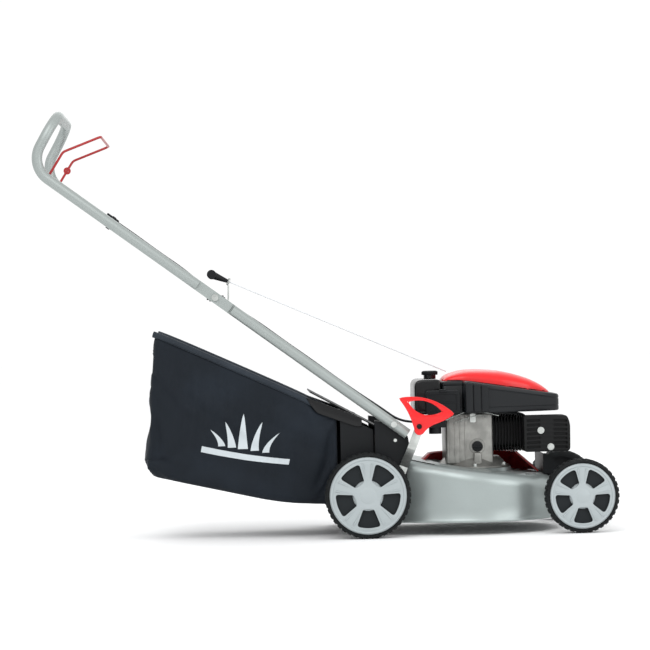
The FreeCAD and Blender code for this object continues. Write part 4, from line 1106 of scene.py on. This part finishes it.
def upright(mesh, place):
    """A shape turned about Y at the origin, stood up and set in place."""
    mesh.transform(Matrix.Translation(place) @ Matrix.Rotation(math.radians(90), 4, "X"))
    return mesh


ORIGIN = Vector((0, 0, 0))
tank = plate([rounded([(125, 283.5, 16), (189.6, 283.5, 10), (189.6, 367.5, 12), (125, 367.5, 18)], 8)],
             -79.5, 94.5, 6)
tank_seam = plate([oblong(124.4, 189.9, 324, 328, 1)], -79.9,
                  94.9, 0.8)
neck = upright(turned([(0.01, 0), (15, 0), (15, 9), (0.01, 9)], ORIGIN, 48), at(170, 35, 367))
show("fuel_tank_shell", joined(tank, tank_seam, neck), gloss_black, "chassis", ["fuel_tank"], 40)

cap_body = turned([(0.01, 0.4), (18.6, 0.4), (19.2, 1.5), (19.2, 8), (18, 10), (15, 10.8), (12, 10.2),
                   (0.01, 10.2)],
                  ORIGIN, 60)
cap_rib = plate([oblong(17.8, 20, -0.9, 0.9, 0.5, 2)], 1.2,
                8.4, 0.4)
cap_rib.transform(Matrix.Translation((-REAR.x, 0, 0)))
cap = joined(cap_body, repeat(cap_rib, 24, ORIGIN, turn=(0, math.radians(15), 0), finish=black_moulding))
show("fuel_cap_grip", upright(cap, at(170, 35, 376)), black_moulding, "fuel_cap", ["fuel_cap"])

box_edge = rounded([(149.5, 284.5, 5), (231.5, 284.5, 5), (231.5, 341.5, 8), (149.5, 341.5, 8)])
lid_frame = rounded([(156, 291, 4), (225, 291, 4), (225, 335, 5), (156, 335, 5)])
lid_inner = rounded([(159, 294, 3), (222, 294, 3), (222, 332, 4), (159, 332, 4)])
lid_bar = plate([oblong(158, 223, 311, 314, 1)], -119.4, -117, 0.5)
clip = plate([oblong(182, 199, 336, 344, 2)], -120, -106, 1)
filter_box = joined(plate([box_edge], -118, -103, 2.2), plate([box_edge], -101.5, -86.5, 2.2),
                    plate([rounded([(152, 287, 4), (229, 287, 4), (229, 339, 5), (152, 339, 5)])], -104,
                          -100, 0.5),
                    plate([lid_frame, lid_inner], -119.4, -117, 0.6), lid_bar, clip)
show("filter_box_shell", filter_box, black_moulding, "chassis", ["air_filter_box"])

# %% [markdown]
# Air-cooled cylinders are cast with thin fins, so one fin is drawn and repeated along the
# bore. The hot silencer beside them hides behind a guard with rows of long slots.

# %% Cylinder, guard and crankcase


def across(outline, thickness, round_by):
    """A thin plate that stands across the mower, its outline given as (Y, Z) pairs."""
    mesh = plate([outline], 0, thickness, round_by)
    mesh.transform(Matrix.Rotation(math.radians(-90), 4, "Z") @ Matrix.Translation((-REAR.x, 0, 0)))
    return mesh


def frame_outline(half, low, high, corner):
    return oblong(-half, half, low, high, corner)


fin = across(frame_outline(58, -44.5, 44.5, 9), 1.9, 0.5)
fins = repeat(fin, 11, at(313.4, 0, 234), (0.0073, 0, 0), finish=stove_black)
barrel = across(frame_outline(46, -36, 36, 14), 78, 1)
barrel.transform(Matrix.Translation(at(313.4, 0, 234)))
show("cylinder_fins", joined(fins, barrel), stove_black, "chassis", ["cylinder"], 30)

guard_slots = []
for row in range(7):
    low = 197 + 10.6 * row
    for left, right in ((389, 421), (453, 486)):
        lean = 1.2 if left < 400 else -1.2
        guard_slots.append(rounded([(left, low, 2), (right, low + lean, 2), (right, low + 5.6 + lean, 2),
                                    (left, low + 5.6, 2)], 3))
guard_edge = rounded([(382.5, 189, 7), (492.5, 189, 10), (493.5, 256, 12), (486, 275.6, 8),
                      (382.5, 275.6, 6)])
inner_edge = rounded([(384, 191, 5), (490.5, 191, 8), (491.5, 256, 10), (484, 274, 6), (384, 274, 4)])
guard = joined(plate([guard_edge] + guard_slots, -126.6, -124, 0.7),
               plate([guard_edge, inner_edge], -124.6, -64.5, 0.4))
guard_back = plate([inner_edge], -121.5, -119.5, 0.4)
show("muffler_guard_shell", joined(guard, guard_back), stove_black, "chassis", ["muffler_guard"], 30)

hexagon = [(6.2 * math.cos(math.radians(60 * step)),
            6.2 * math.sin(math.radians(60 * step))) for step in range(6)]
guard_bolts = []
for x, z in ((422.7, 240.3), (445.6, 200.3)):
    washer = turned([(0.01, -127.4), (8.2, -127.4), (8.2, -126.4), (0.01, -126.4)], at(x, 0, z), 32)
    guard_bolts += [plate([[(x + a, z + b) for a, b in hexagon]], -131, -127.2, 0.5), washer]
show("guard_bolts", joined(*guard_bolts), zinc, "chassis")

case = plate([rounded([(198.5, 160, 6), (312.5, 160, 6), (312.5, 284, 10), (198.5, 284, 14)], 8)], -67.5,
             67.5, 5)
boss = turned([(0.01, -68.3), (18, -68.3), (19, -67.4), (19, -64), (0.01, -64)], at(274, 0, 203), 48)
column = plate([rounded([(263, 152, 3), (285, 152, 3), (283, 188, 4), (265, 188, 4)])], -77, -62, 3)
foot = turned([(0.01, -80), (5.5, -80), (6, -79), (6, -76), (0.01, -76)], at(274, 0, 162), 24)
rib = plate([oblong(-1.5, 1.5, 168, 276, 1, 2)], -69.4, -60, 0.6)
rib.transform(Matrix.Translation((-REAR.x, 0, 0)))
case_ribs = repeat(rib, 4, at(208, 0, 0), (0.0125, 0, 0), finish=cast_alloy)
flange = upright(turned([(30, 0), (90, 0), (90.6, 1), (90.6, 5), (89, 6.4), (84, 9), (76, 17), (66, 27),
                         (30, 28)], ORIGIN, 96),
                 at(266, 0, 149.2))
show("crankcase_casting", joined(case, boss, column, foot, case_ribs), cast_alloy, "chassis",
     ["crankcase"], 35)
show("engine_flange", flange, cast_alloy, "chassis", ["engine_base"], 35)

oil_grip = plate([oblong(-11, 11, -2.4, 2.4, 2)], -79.5, -75, 1)
oil_grip.transform(Matrix.Translation(at(274, 0, 203) - Vector((REAR.x, 0, 0))))
oil_cap = joined(turned([(0.01, -75.4), (9, -75.6), (12.6, -74.8), (13, -73), (13, -68.4), (0.01, -68.4)],
                        at(274, 0, 203), 48), oil_grip)
show("oil_cap_grip", oil_cap, black_moulding, "oil_cap", ["oil_cap"])

# %% [markdown]
# The governor's rods and springs are bright wire. A spring is a helix with its ends drawn out
# straight, and the throttle rod runs from the carburettor to the governor arm.

# %% Linkage


def spring(start, end, radius, turns, gauge):
    run = end - start
    side = run.cross(Vector((0, 0, 1))).normalized()
    rise = run.cross(side).normalized()
    points = [start]
    count = turns * 10
    for step in range(count + 1):
        part = 0.12 + 0.76 * step / count
        angle = 2 * math.pi * turns * step / count
        points.append(start + run * part + (side * math.cos(angle) + rise * math.sin(angle)) * radius / 1000)
    points.append(end)
    return wire(points, gauge, sides=2)


links = joined(bent([at(196, -84, 268), at(214, -84, 276), at(252, -92, 290), at(300, -96, 284),
                     at(326, -84, 276)], 1.2),
               spring(at(214, -92, 262), at(262, -92, 276), 3.2, 9, 0.6),
               bent([at(262, -92, 276), at(280, -90, 280), at(300, -80, 272)], 1.1),
               plate([oblong(256, 270, 262, 284, 4)], -90, -88,
                     0.4))
show("governor_linkage", links, zinc, "chassis")
lead = wire([at(392, -52, 246), at(398, -56, 268), at(380, -66, 281), at(340, -72, 283),
             at(300, -74, 284)], 3.4)
show("plug_lead", lead, cable_black, "chassis")

# %% [markdown]
# The rope leaves the recoil starter, runs taut to a wire guide on the handlebar and ends in
# a moulded grip. Pulling the grip turns the reel; the rope's last short stretch through the guide
# is a piece of its own, not tied to any body.

# %% Starter rope and grip
GUIDE = at(-314, -136, 614)
ROPE_END = at(208, 0, 385)
PULL = (GUIDE - ROPE_END).normalized()
ROPE_RADIUS = 1.5


braided = Finish("braided_rope")
twist = braided.node("ShaderNodeTexWave", {"bands_direction": "DIAGONAL"}, {"Vector": braided.place,
                                                                            "Scale": 300})
braided.surface(base_color=braided.mix(twist, shade("c9ccd0"), shade("eceef0")), roughness=0.8,
                normal=braided.bump(twist, 0.0002))
rope_points = [ROPE_END.lerp(GUIDE, step / 6) for step in range(7)]
rope = add(smooth_line("starter_rope_run", rope_points, ROPE_RADIUS))
rope.data.materials.append(braided.material)
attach(rope, "chassis")
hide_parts("starter_rope")
tail = show("starter_rope_tail", wire([GUIDE + PULL * (reach / 1000) for reach in (-2, 2, 6, 10)],
                                      ROPE_RADIUS),
            braided.material, None)
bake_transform(tail)
print("rope", round((GUIDE - ROPE_END).length, 4), "m")
